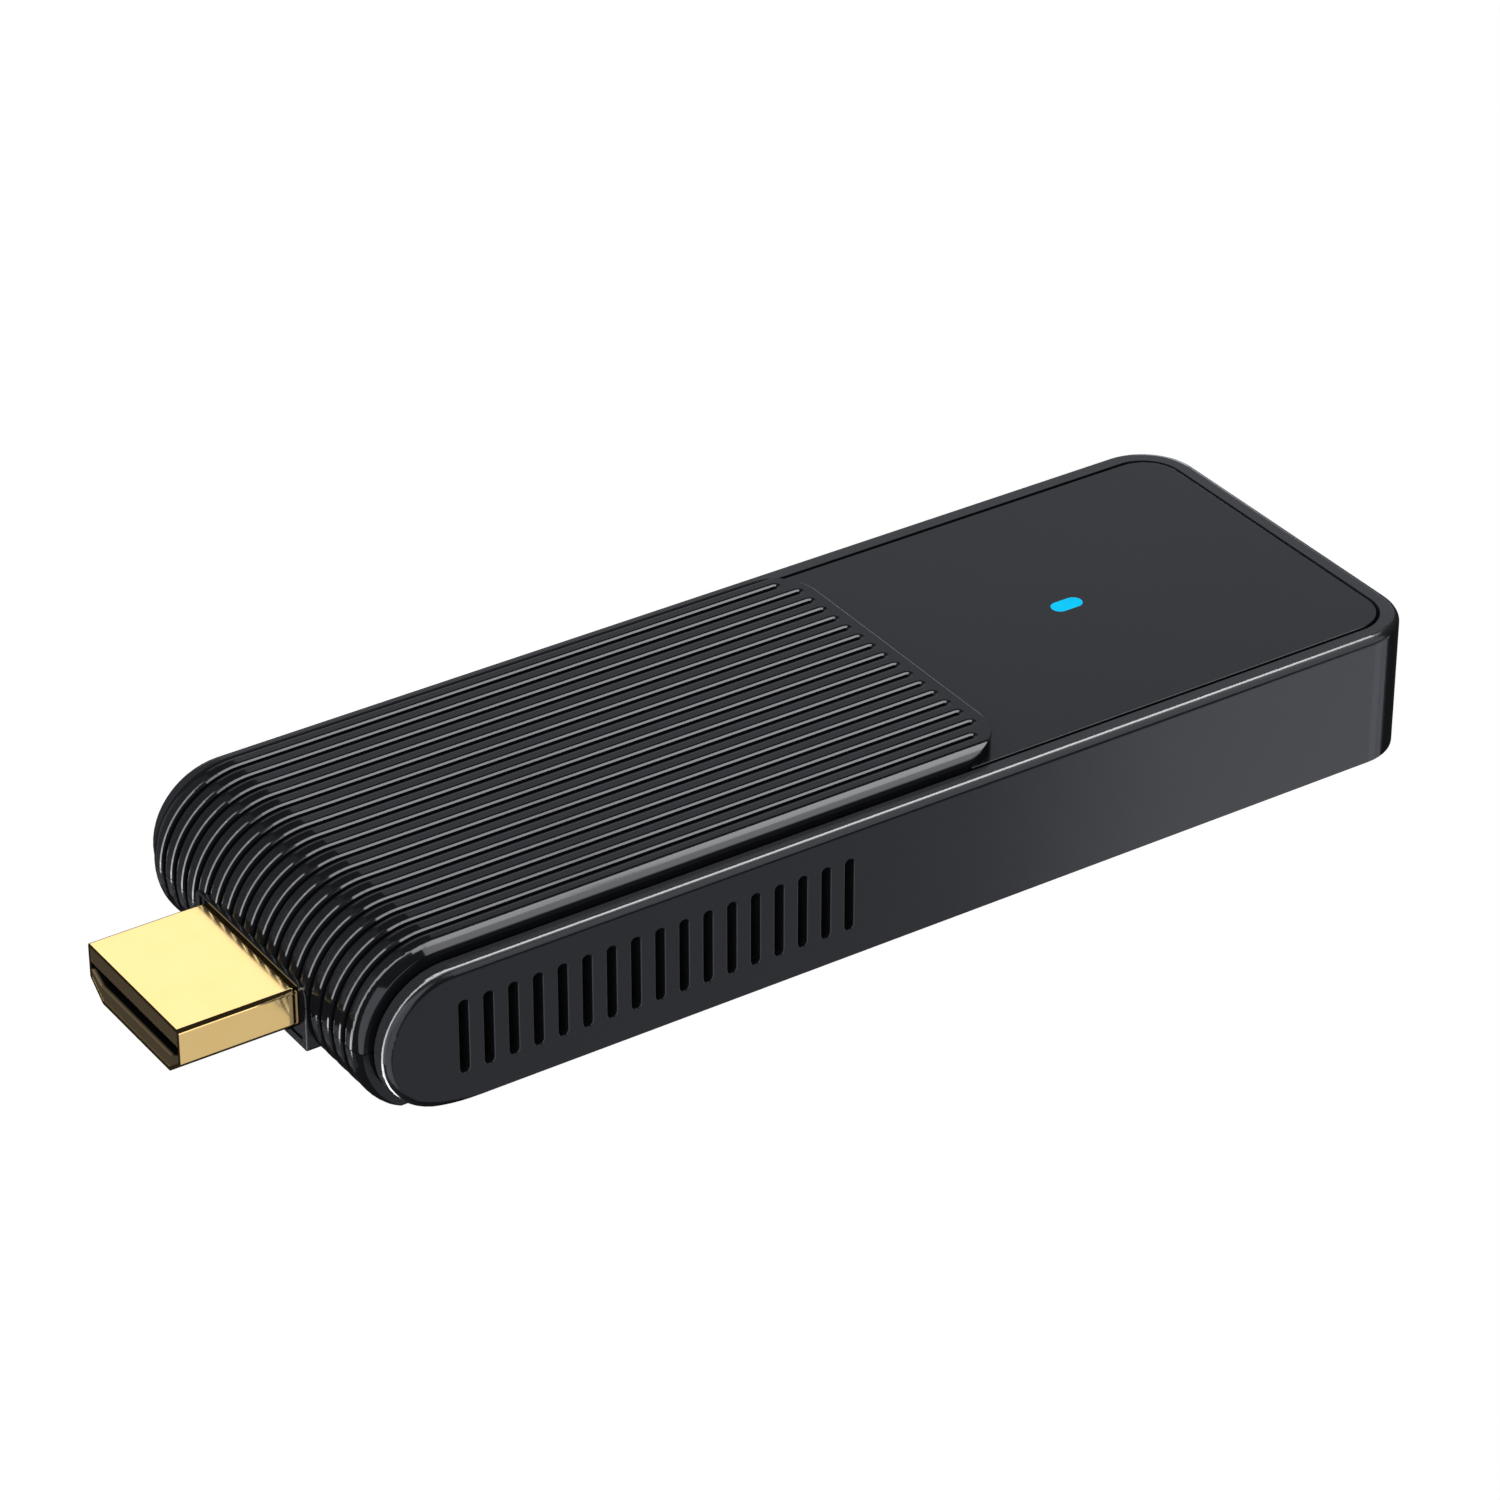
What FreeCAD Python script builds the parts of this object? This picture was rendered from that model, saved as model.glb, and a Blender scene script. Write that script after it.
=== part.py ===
import FreeCAD, Part
import math
import os
import re
import Sketcher

# Streaming stick. X runs from the plug tip (-) to the rear wall (+), the vented
# long wall that faces -Y carries 17 slots, Z is up. Origin: centre of the
# overall box, on the surface that the stick lies on. Millimetres.

V3 = FreeCAD.Vector
os.makedirs("parts", exist_ok=True)
doc = FreeCAD.newDocument("streaming_stick")

# ---------------------------------------------------------------- dimensions
SIZES = [
    # outside
    ("tip_x", -53.1, "plug tip"),
    ("rear_x", 53.1, "rear wall, outside"),
    ("half_w", 17.6, "half width"),
    ("rim_z", 11.5, "rim and flat panel, top"),
    ("top_z", 12.65, "ribbed cover, top"),
    ("corner_r", 5.0, "rear corners in plan"),
    ("edge_r", 0.65, "rounded edge between rim and walls"),
    ("wall_in", 16.06, "inner face of the long walls"),
    ("rear_in", 51.56, "inner face of the rear wall"),
    ("corner_in", 3.46, "inner corner radius"),
    # nose
    ("fnose_x", -36.2, "centre of the frame's upper nose arc"),
    ("fnose_z", 5.5, "height of the nose arcs"),
    ("fnose_r", 6.0, "frame nose, upper arc"),
    ("fnose2_x", -37.653565, "where the frame's lower nose arc meets the bottom edge"),
    ("fnose2_r", 5.6, "frame nose, lower arc"),
    ("cnose_z", 5.55, "height of the cover's nose arc centre"),
    ("cnose_r", 7.1, "cover nose, outside"),
    ("cnose_in", 5.9, "cover nose, inside"),
    ("cnose_lip", 4.7, "cover nose, inner edge of its side lips"),
    ("seam_z", 5.65, "parting line across the nose"),
    ("seam_gap", 0.08, "parting line gap"),
    # ledge and cross bars of the frame
    ("ledge_lo", 8.8, "ledge, underside"),
    ("ledge_z", 10.0, "ledge, top"),
    ("ledge_y", 15.06, "ledge, inner edge"),
    ("lnose_out", 4.45, "nose ledge, outer radius"),
    ("lnose_in", 3.25, "nose ledge, inner radius"),
    ("bar1_x0", -34.2, "front cross bar"),
    ("bar1_x1", -31.2, ""),
    ("bar2_x0", 8.2, "middle cross bar"),
    ("bar2_x1", 12.6, ""),
    ("bar3_x0", 36.0, "rear cross bar"),
    ("bar3_x1", 39.0, ""),
    # vents
    ("vent_x0", -35.54, "first vent slot"),
    ("vent_pitch", 2.104, "vent pitch"),
    ("vent_n", 17, "vent count"),
    ("vent_w", 0.80, "vent width"),
    ("vent_lo", 2.417, "vent, lower end"),
    ("vent_hi", 8.69, "vent, upper end"),
    ("vent_edge", 0.10, "vent edge rounding"),
    # ribbed cover
    ("cover_y", 15.65, "ribbed cover, half width"),
    ("cover_in_y", 14.45, "ribbed cover, inner half width"),
    ("cover_x1", 14.57, "ribbed cover, rear edge"),
    ("cover_step_x", 10.4, "where the cover starts to overlap the panel"),
    ("cover_wall_x", 9.2, "inside of the cover's rear wall"),
    ("cover_roof_z", 11.45, "inside of the cover's roof"),
    ("cover_corner", 4.5, "cover corners in plan"),
    ("cover_edge", 0.10, "rounding along the cover's rear edge"),
    ("band_y", 14.50, "inner line of the sloping band along the cover's long edges"),
    ("band_r0", 1.0, "short curve that leads into the band"),
    ("band_y1", 14.742, "end of that curve"),
    ("band_drop1", 0.0297, "its fall"),
    ("band_drop", 0.437, "fall of the whole band down to the side wall"),
    ("band_r", 2.82, "crown radius of the band"),
    ("rib_pitch", 1.683, "groove pitch"),
    ("rib_n", 17, "groove count"),
    ("rib_w", 0.37, "width of a groove's slot"),
    ("rib_deep", 0.42, "groove depth"),
    ("lip_run", 0.17, "outer slope of the groove's lip, width"),
    ("lip_fall", 0.021, "outer slope, fall"),
    ("lip2_run", 0.19, "inner slope of the lip, width"),
    ("lip2_fall", 0.067, "inner slope, fall"),
    ("rib_x1", 13.70, "rear end of the grooves"),
    ("rib_x1_side", 12.63, "rear end of the two outer grooves"),
    # top panel
    ("panel_y", 15.73, "panel half width"),
    ("panel_x0", 10.55, "panel, front edge"),
    ("panel_x1", 51.31, "panel, rear edge"),
    ("panel_r", 3.21, "panel corners"),
    ("panel_z0", 10.2, "panel, underside"),
    ("led_x", 30.92, "light window centre"),
    ("led_len", 2.8, "light window length"),
    ("led_wid", 1.5, "light window width"),
    # bottom cover
    ("base_t", 1.2, "base plate thickness"),
    ("base_y", 15.9, "base plate half width"),
    ("base_x1", 51.4, "base plate rear edge"),
    ("base_r", 3.3, "base plate corners"),
    ("base_lap", -34.5, "front end of the wide base plate"),
    ("pad_recess", 0.15, "bare recess in the underside"),
    ("recess_x0", -22.0, ""),
    ("recess_x1", 26.0, ""),
    ("recess_y", 10.0, ""),
    ("snap_t", 0.7, "snap tab thickness"),
    ("snap_len", 4.0, "snap tab length"),
    ("snap_out", 15.9, "snap tab outer face"),
    ("snap_top", 8.3, "snap tab height"),
    # collar round the plug
    ("collar_x0", -43.40, "collar front face"),
    ("collar_x1", -41.3, "collar rear end"),
    ("collar_y", 8.25, "collar half width"),
    ("collar_lo", 1.70, "collar underside"),
    ("collar_hi", 7.1, "collar top"),
    ("collar_r_hi", 0.7, "upper corners of the collar"),
    ("collar_r_lo", 0.3, "lower corners of the collar"),
    ("ring_y", 7.58, "bezel half width"),
    ("ring_lo", 2.43, "bezel underside"),
    ("ring_hi", 6.88, "bezel top"),
    ("ring_x0", -43.28, "bezel front face"),
    # plug
    ("plug_hi", 6.58, "plug top"),
    ("plug_lo", 2.06, "plug underside"),
    ("plug_y", 6.95, "plug half width"),
    ("plug_knee", 3.50, "where the plug's sides start to taper"),
    ("plug_y_lo", 5.15, "plug half width at the underside"),
    ("plug_t", 0.30, "plug shell thickness"),
    ("plug_gap", 0.10, "gap round the plug"),
    ("plug_x1", -40.0, "plug shell, rear end"),
    ("slot_hi", 4.92, "mouth slot, top"),
    ("slot_lo", 3.50, "mouth slot, bottom"),
    ("slot_x1", -44.6, "mouth slot, inner end"),
    ("pin_w", 0.35, "contact width"),
    ("pin_x0", -52.4, "contacts, front end"),
    ("pin_x1", -37.9, "contacts, rear end"),
    # board
    ("board_z0", 3.70, "board, underside"),
    ("board_z1", 4.70, "board, top"),
    ("board_y", 14.8, "board half width"),
    ("board_x0", -36.8, "board, front edge"),
    ("board_x1", 49.8, "board, rear edge"),
    ("board_tongue_x", -39.9, "board tongue in the plug"),
    ("board_tongue_y", 6.3, ""),
    ("screw_x0", -32.7, "front board screws"),
    ("screw_x1", 37.5, "rear board screws"),
    ("screw_y", 11.6, "board screws, off centre"),
    ("boss_r", 2.0, "screw boss radius"),
    ("screw_r", 0.80, "screw radius"),
    ("screw_hole", 0.80, "hole in the boss"),
    ("screw_clear", 1.0, "hole in the board"),
    # power inlet
    ("inlet_y", 0.0, "power inlet centre"),
    ("inlet_hw", 3.75, "power inlet half width"),
    ("inlet_z1", 7.40, "power inlet, top"),
    ("inlet_x0", 46.4, "power inlet, inner end"),
    ("inlet_x1", 52.75, "power inlet, mouth"),
    ("inlet_t", 0.25, "power inlet shell thickness"),
    ("inlet_gap", 0.30, "gap in the rear wall round the inlet"),
    ("inlet_chamfer", 1.0, "lower corner cut of the inlet"),
    # reset button
    ("button_y", -10.6, "button centre"),
    ("button_z", 5.70, "button height"),
    ("button_r", 1.25, "button radius"),
    ("button_gap", 0.09, "button clearance"),
    ("button_x1", 52.95, "button face"),
    ("flange_r", 2.0, "button flange radius"),
    ("flange_x0", 50.3, "flange, inner face"),
    ("flange_x1", 51.3, "flange, outer face"),
    ("button_travel", 0.25, "button travel"),
]

sheet = doc.addObject("Spreadsheet::Sheet", "Sizes")
VALUE = {}
for row, (word, value, note) in enumerate(SIZES, start=1):
    sheet.set("A%d" % row, str(value))
    sheet.setAlias("A%d" % row, word)
    if note:
        sheet.set("B%d" % row, note)
    VALUE[word] = float(value)
doc.recompute()


# ------------------------------------------------------------------- helpers
def num(text):
    """Value of a sum of products of words and numbers, such as 'a+0.5*b-c'."""
    total = 0.0
    for sign, term in re.findall(r"([+-]?)([^+-]+)", str(text).replace(" ", "")):
        product = 1.0
        for op, factor in re.findall(r"([*/]?)([^*/]+)", term):
            v = VALUE[factor] if factor in VALUE else float(factor)
            product = product / v if op == "/" else product * v
        total += -product if sign == "-" else product
    return total


def ref(text):
    """The same sum as an expression on the sheet."""
    return re.sub(r"([A-Za-z_][A-Za-z_0-9]*)", r"Sizes.\1", str(text).replace(" ", ""))


def is_word(text):
    return re.search(r"[A-Za-z]", str(text)) is not None


def new_body(label):
    b = doc.addObject("PartDesign::Body", "Body_" + label)
    b.Label = label
    return b


def plane_of(body, role):
    return [f for f in body.Origin.OriginFeatures if f.Role == role][0]


def new_sketch(body, role, name, offset=None):
    sk = body.newObject("Sketcher::SketchObject", body.Label + "_" + name)
    sk.AttachmentSupport = [(plane_of(body, role), "")]
    sk.MapMode = "FlatFace"
    if offset is not None:
        sk.AttachmentOffset = FreeCAD.Placement(V3(0, 0, num(offset)), FreeCAD.Rotation())
        if is_word(offset):
            sk.setExpression("AttachmentOffset.Base.z", ref(offset))
    return sk


def add_all(sk, items):
    """Add constraints in one go and bind those that carry a sum of words."""
    keys = sk.addConstraint([c for c, e in items])
    for k, (c, e) in zip(keys, items):
        if e is not None and is_word(e):
            sk.setExpression("Constraints[%d]" % k, ref(e))


def pinned(geo, pos, xe, ye):
    return [(Sketcher.Constraint("DistanceX", -1, 1, geo, pos, num(xe)), xe),
            (Sketcher.Constraint("DistanceY", -1, 1, geo, pos, num(ye)), ye)]


def outline(sk, points):
    """Closed outline. Each point is (x, y) or (x, y, radius, turn): the edge that
    leaves such a point is an arc of that radius, turn +1 counter-clockwise."""
    n = len(points)
    geo = []
    for i, p in enumerate(points):
        q = points[(i + 1) % n]
        a, b = V3(num(p[0]), num(p[1]), 0), V3(num(q[0]), num(q[1]), 0)
        if len(p) == 2:
            geo.append((sk.addGeometry(Part.LineSegment(a, b), False), 1, 2))
            continue
        r, turn = num(p[2]), p[3]
        mid, d = (a + b) * 0.5, b - a
        up = V3(-d.y, d.x, 0).normalize() * turn
        centre = mid + up * math.sqrt(max(r * r - d.Length ** 2 / 4.0, 0.0))
        t0 = math.atan2(a.y - centre.y, a.x - centre.x)
        t1 = math.atan2(b.y - centre.y, b.x - centre.x)
        circle = Part.Circle(centre, V3(0, 0, 1), r)
        if turn > 0:
            geo.append((sk.addGeometry(Part.ArcOfCircle(circle, t0, t1), False), 1, 2))
        else:
            geo.append((sk.addGeometry(Part.ArcOfCircle(circle, t1, t0), False), 2, 1))
    items = []
    for i in range(n):
        g, first, last = geo[i]
        g2, first2, last2 = geo[(i + 1) % n]
        items.append((Sketcher.Constraint("Coincident", g, last, g2, first2), None))
    for i, p in enumerate(points):
        items += pinned(geo[i][0], geo[i][1], p[0], p[1])
        if len(p) == 2:
            continue
        q = points[(i + 1) % n]
        dx, dy = num(q[0]) - num(p[0]), num(q[1]) - num(p[1])
        if abs(math.hypot(dx, dy) - 2.0 * num(p[2])) > 1e-6:
            items.append((Sketcher.Constraint("Radius", geo[i][0], num(p[2])), p[2]))
        elif abs(dx) < 1e-6:  # half circle: its centre stays level with its ends
            items.append((Sketcher.Constraint("DistanceX", -1, 1, geo[i][0], 3, num(p[0])), p[0]))
        else:
            items.append((Sketcher.Constraint("DistanceY", -1, 1, geo[i][0], 3, num(p[1])), p[1]))
    add_all(sk, items)
    return sk


def circle(sk, x, y, r):
    g = sk.addGeometry(Part.Circle(V3(num(x), num(y), 0), V3(0, 0, 1), num(r)), False)
    add_all(sk, pinned(g, 3, x, y) + [(Sketcher.Constraint("Radius", g, num(r)), r)])


def axis_line(sk, x0, y0, x1, y1):
    """Construction line that a revolved feature turns about."""
    g = sk.addGeometry(Part.LineSegment(V3(num(x0), num(y0), 0), V3(num(x1), num(y1), 0)), True)
    add_all(sk, pinned(g, 1, x0, y0) + pinned(g, 2, x1, y1))
    doc.recompute()
    return (sk, ["Axis0"])


def rectangle(sk, x0, x1, y0, y1):
    return outline(sk, [(x0, y0), (x1, y0), (x1, y1), (x0, y1)])


def rear_opening(sk, x0):
    """Opening inside the ledge behind x0, with the rear corners rounded."""
    return outline(sk, [
        (x0, "-ledge_y"),
        ("rear_in-corner_in", "-ledge_y", "corner_in-wall_in+ledge_y", 1),
        ("rear_in-wall_in+ledge_y", "-wall_in+corner_in"),
        ("rear_in-wall_in+ledge_y", "wall_in-corner_in", "corner_in-wall_in+ledge_y", 1),
        ("rear_in-corner_in", "ledge_y"),
        (x0, "ledge_y"),
    ])


def stadium_x(sk, cx, cy, length, width):
    """Pill along the sketch's X axis."""
    a, b = "%s-0.5*%s+0.5*%s" % (cx, length, width), "%s+0.5*%s-0.5*%s" % (cx, length, width)
    lo, hi = "%s-0.5*%s" % (cy, width), "%s+0.5*%s" % (cy, width)
    return outline(sk, [(a, lo), (b, lo, "0.5*" + width, 1), (b, hi), (a, hi, "0.5*" + width, 1)])


def feature(body, kind, name, sk, length=None, side=None, reverse=False, through=False):
    f = body.newObject("PartDesign::" + kind, body.Label + "_" + name)
    f.Profile = sk
    if side:
        f.SideType = side
    if through:
        f.Type = "ThroughAll"
    elif length is not None:
        f.Length = num(length)
        if is_word(length):
            f.setExpression("Length", ref(length))
    f.Reversed = reverse
    return f


def volume(body):
    doc.recompute()
    return body.Shape.Volume


def must_cut(body, before, what):
    after = volume(body)
    if not after < before - 1e-4:
        raise RuntimeError("%s cut nothing" % what)
    return after


def must_add(body, before, what):
    after = volume(body)
    if not after > before + 1e-4:
        raise RuntimeError("%s added nothing" % what)
    return after


def edges_where(shape, test):
    return ["Edge%d" % (i + 1) for i, e in enumerate(shape.Edges) if test(e)]


def middle(edge):
    return edge.valueAt((edge.FirstParameter + edge.LastParameter) / 2.0)


def fillet(body, base, names, radius, name):
    f = body.newObject("PartDesign::Fillet", body.Label + "_" + name)
    f.Base = (base, names)
    f.Radius = num(radius)
    if is_word(radius):
        f.setExpression("Radius", ref(radius))
    return f


def box(label, x0, x1, y0, y1, z0, z1):
    b = doc.addObject("Part::Box", "Box_" + label)
    b.Label = label
    for prop, lo, hi in (("Length", x0, x1), ("Width", y0, y1), ("Height", z0, z1)):
        diff = "%s-(%s)" % (hi, lo)
        setattr(b, prop, num(hi) - num(lo))
        b.setExpression(prop, ref(diff))
    b.Placement.Base = V3(num(x0), num(y0), num(z0))
    for axis, e in (("x", x0), ("y", y0), ("z", z0)):
        if is_word(e):
            b.setExpression("Placement.Base." + axis, ref(e))
    return b


def cylinder(label, x, y, z, r, height, axis="z"):
    c = doc.addObject("Part::Cylinder", "Cyl_" + label)
    c.Label = label
    c.Radius = num(r)
    c.Height = num(height)
    if is_word(r):
        c.setExpression("Radius", ref(r))
    if is_word(height):
        c.setExpression("Height", ref(height))
    rot = {"z": FreeCAD.Rotation(), "x": FreeCAD.Rotation(V3(0, 1, 0), 90)}[axis]
    c.Placement = FreeCAD.Placement(V3(num(x), num(y), num(z)), rot)
    for a, e in (("x", x), ("y", y), ("z", z)):
        if is_word(e):
            c.setExpression("Placement.Base." + a, ref(e))
    return c


def cut(label, base, tool):
    c = doc.addObject("Part::Cut", "Cut_" + label)
    c.Label = label
    c.Base, c.Tool = base, tool
    return c


def fuse(label, shapes):
    f = doc.addObject("Part::MultiFuse", "Fuse_" + label)
    f.Label = label
    f.Shapes = shapes
    f.Refine = True
    return f


def group(label, shapes):
    g = doc.addObject("Part::Compound", "Group_" + label)
    g.Label = label
    g.Links = shapes
    return g


def rounded(label, base, radius, test, chamfer=False):
    """Edge rounding on a Part object, on the edges that test picks."""
    doc.recompute()
    f = doc.addObject("Part::Chamfer" if chamfer else "Part::Fillet", "Round_" + label)
    f.Label = label
    f.Base = base
    f.Edges = [(i + 1, radius, radius) for i, e in enumerate(base.Shape.Edges) if test(e)]
    return f


PARTS = []


def keep(obj, label):
    obj.Label = label
    PARTS.append(obj)
    return obj


# ---------------------------------------------------------------- side frame
frame = new_body("side_frame")
sk = new_sketch(frame, "XY_Plane", "plan", "-3")
outline(sk, [
    ("fnose_x-fnose_r", "-half_w"),
    ("rear_x-corner_r", "-half_w", "corner_r", 1),
    ("rear_x", "-half_w+corner_r"),
    ("rear_x", "half_w-corner_r", "corner_r", 1),
    ("rear_x-corner_r", "half_w"),
    ("fnose_x-fnose_r", "half_w"),
])
block = feature(frame, "Pad", "block", sk, "rim_z+3")
v = volume(frame)
# the two nose arcs, upper and lower, cut from the side
sk = new_sketch(frame, "XZ_Plane", "nose")
outline(sk, [
    ("fnose_x", "rim_z", "fnose_r", 1),
    ("fnose_x-fnose_r", "fnose_z", "fnose2_r", 1),
    ("fnose2_x", "0"),
    ("-34.5", "-0.604087"),
    ("-34.5", "-4"),
    ("fnose_x-fnose_r-2", "-4"),
    ("fnose_x-fnose_r-2", "rim_z+1"),
    ("fnose_x", "rim_z+1"),
])
nose = feature(frame, "Pocket", "nose", sk, "4*half_w", side="Symmetric")
v = must_cut(frame, v, "frame nose")


def outer_edge(e):
    m = middle(e)
    b = e.BoundBox
    top = abs(m.z - VALUE["rim_z"]) < 1e-6 and b.ZLength < 1e-6
    side = abs(abs(m.y) - VALUE["half_w"]) < 1e-6
    arc = side and b.YLength < 1e-6 and m.x < -34.6 and b.XLength > 1.0 and m.z > -1.0
    if top:
        return side or m.x > VALUE["rear_x"] - VALUE["corner_r"] - 1e-6
    return arc


edge = fillet(frame, nose, edges_where(nose.Shape, outer_edge), "edge_r", "edge")
v = must_cut(frame, v, "frame edge rounding")
# flat underside; the bottom edge of the walls stays sharp
sk = new_sketch(frame, "XY_Plane", "foot")
rectangle(sk, "fnose_x-fnose_r-2", "rear_x+2", "-half_w-2", "half_w+2")
f = feature(frame, "Pocket", "foot", sk, "5")
v = must_cut(frame, v, "frame underside")
# the inside, open from top to bottom and at the nose
sk = new_sketch(frame, "XY_Plane", "inside")
outline(sk, [
    ("fnose_x-fnose_r-3", "-wall_in"),
    ("rear_in-corner_in", "-wall_in", "corner_in", 1),
    ("rear_in", "-wall_in+corner_in"),
    ("rear_in", "wall_in-corner_in", "corner_in", 1),
    ("rear_in-corner_in", "wall_in"),
    ("fnose_x-fnose_r-3", "wall_in"),
])
inside = feature(frame, "Pocket", "inside", sk, through=True, side="Symmetric")
v = must_cut(frame, v, "frame inside")
# vent slots through both long walls
sk = new_sketch(frame, "XZ_Plane", "vent")
outline(sk, [
    ("vent_x0-0.5*vent_w", "vent_lo+0.5*vent_w", "0.5*vent_w", 1),
    ("vent_x0+0.5*vent_w", "vent_lo+0.5*vent_w"),
    ("vent_x0+0.5*vent_w", "vent_hi-0.5*vent_w", "0.5*vent_w", 1),
    ("vent_x0-0.5*vent_w", "vent_hi-0.5*vent_w"),
])
vent = feature(frame, "Pocket", "vent", sk, through=True, side="Symmetric")
v = must_cut(frame, v, "first vent")
vents = frame.newObject("PartDesign::LinearPattern", "side_frame_vents")
vents.Originals = [vent]
vents.Direction = (plane_of(frame, "X_Axis"), [""])
vents.Mode = "Spacing"
vents.Offset = VALUE["vent_pitch"]
vents.setExpression("Offset", ref("vent_pitch"))
vents.Occurrences = int(VALUE["vent_n"])
frame.Tip = vents
v = must_cut(frame, v, "vent pattern")


def vent_mouth(e):
    m = middle(e)
    if abs(abs(m.y) - VALUE["half_w"]) > 1e-6 or e.BoundBox.YLength > 1e-6:
        return False
    return (VALUE["vent_lo"] - 1e-3 < m.z < VALUE["vent_hi"] + 1e-3
            and VALUE["vent_x0"] - 1 < m.x < VALUE["vent_x0"] + 17 * VALUE["vent_pitch"]
            and e.BoundBox.DiagonalLength < 7.0)


soft = fillet(frame, vents, edges_where(vents.Shape, vent_mouth), "vent_edge", "vent_edges")
v = must_cut(frame, v, "vent edge rounding")
# ledge that carries the ribbed cover and the panel, with three cross bars
sk = new_sketch(frame, "XY_Plane", "ledge", "ledge_lo")
outline(sk, [
    ("fnose_x", "-wall_in"),
    ("rear_in-corner_in", "-wall_in", "corner_in", 1),
    ("rear_in", "-wall_in+corner_in"),
    ("rear_in", "wall_in-corner_in", "corner_in", 1),
    ("rear_in-corner_in", "wall_in"),
    ("fnose_x", "wall_in"),
])
rectangle(sk, "bar1_x1", "bar2_x0", "-ledge_y", "ledge_y")
rectangle(sk, "bar2_x1", "bar3_x0", "-ledge_y", "ledge_y")
rear_opening(sk, "bar3_x1")
ledge = feature(frame, "Pad", "ledge", sk, "ledge_z-ledge_lo")
v = must_add(frame, v, "ledge")
# opening between the front bar and the nose
sk = new_sketch(frame, "XY_Plane", "front_gap", "ledge_lo")
rectangle(sk, "fnose_x-1", "bar1_x0", "-ledge_y", "ledge_y")
gap = feature(frame, "Pocket", "front_gap", sk, "ledge_z-ledge_lo", reverse=True)
v = must_cut(frame, v, "front opening")
# the ledge goes on round the nose on both sides
for side in (-1, 1):
    sk = new_sketch(frame, "XZ_Plane", "nose_ledge%d" % (side + 1),
                    "ledge_y" if side < 0 else "-wall_in")
    outline(sk, [
        ("fnose_x", "cnose_z+lnose_out", "lnose_out", 1),
        ("fnose_x-lnose_out", "cnose_z", "lnose_out", 1),
        ("fnose_x-0.5*lnose_out", "cnose_z-0.8660254*lnose_out"),
        ("fnose_x-0.5*lnose_in", "cnose_z-0.8660254*lnose_in", "lnose_in", -1),
        ("fnose_x-lnose_in", "cnose_z", "lnose_in", -1),
        ("fnose_x", "cnose_z+lnose_in"),
    ])
    f = feature(frame, "Pad", "nose_ledge%d" % (side + 1), sk, "wall_in-ledge_y")
    v = must_add(frame, v, "nose ledge")
# screw bosses under the front and rear bars
sk = new_sketch(frame, "XY_Plane", "bosses", "board_z1")
for sx in ("screw_x0", "screw_x1"):
    for sy in ("-screw_y", "screw_y"):
        circle(sk, sx, sy, "boss_r")
bosses = feature(frame, "Pad", "bosses", sk, "ledge_lo-board_z1")
v = must_add(frame, v, "screw bosses")
sk = new_sketch(frame, "XY_Plane", "boss_holes", "board_z1")
for sx in ("screw_x0", "screw_x1"):
    for sy in ("-screw_y", "screw_y"):
        circle(sk, sx, sy, "screw_hole")
f = feature(frame, "Pocket", "boss_holes", sk, "3.6", reverse=True)
v = must_cut(frame, v, "boss holes")
# catches for the snap tabs of the bottom cover
sk = new_sketch(frame, "XY_Plane", "catches", "6.6")
for cx in ("4", "24", "44"):
    for s in (-1, 1):
        a, b = ("wall_in-0.45", "wall_in") if s > 0 else ("-wall_in", "-wall_in+0.45")
        rectangle(sk, cx + "-0.5*snap_len", cx + "+0.5*snap_len", a, b)
f = feature(frame, "Pad", "catches", sk, "0.6")
v = must_add(frame, v, "catches")
# rear wall: opening for the power inlet and bore for the button
sk = new_sketch(frame, "YZ_Plane", "inlet", "rear_in-1")
g = "inlet_gap"
outline(sk, [
    ("-inlet_hw-" + g, "board_z1-%s+inlet_chamfer" % g),
    ("-inlet_hw-%s+inlet_chamfer" % g, "board_z1-" + g),
    ("inlet_hw+%s-inlet_chamfer" % g, "board_z1-" + g),
    ("inlet_hw+" + g, "board_z1-%s+inlet_chamfer" % g),
    ("inlet_hw+" + g, "inlet_z1+" + g),
    ("-inlet_hw-" + g, "inlet_z1+" + g),
])
f = feature(frame, "Pocket", "inlet", sk, "4", reverse=True)
v = must_cut(frame, v, "inlet opening")
sk = new_sketch(frame, "YZ_Plane", "button_bore", "rear_in-1")
circle(sk, "button_y", "button_z", "button_r+button_gap")
f = feature(frame, "Pocket", "button_bore", sk, "4", reverse=True)
v = must_cut(frame, v, "button bore")
base_shape = f.Shape


def rear_mouth(e):
    m = middle(e)
    return abs(m.x - VALUE["rear_x"]) < 1e-6 and e.BoundBox.XLength < 1e-6 and \
        abs(m.y) < 12.2 and 3.9 < m.z < 8.2


f = fillet(frame, f, edges_where(base_shape, rear_mouth), "0.2", "rear_mouths")
v = must_cut(frame, v, "rear mouths rounding")
keep(frame, "side_frame")

# ------------------------------------------------------------------- grooves
RIB_Y = ["%d*rib_pitch" % (i - int(VALUE["rib_n"]) // 2) for i in range(int(VALUE["rib_n"]))]


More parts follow.
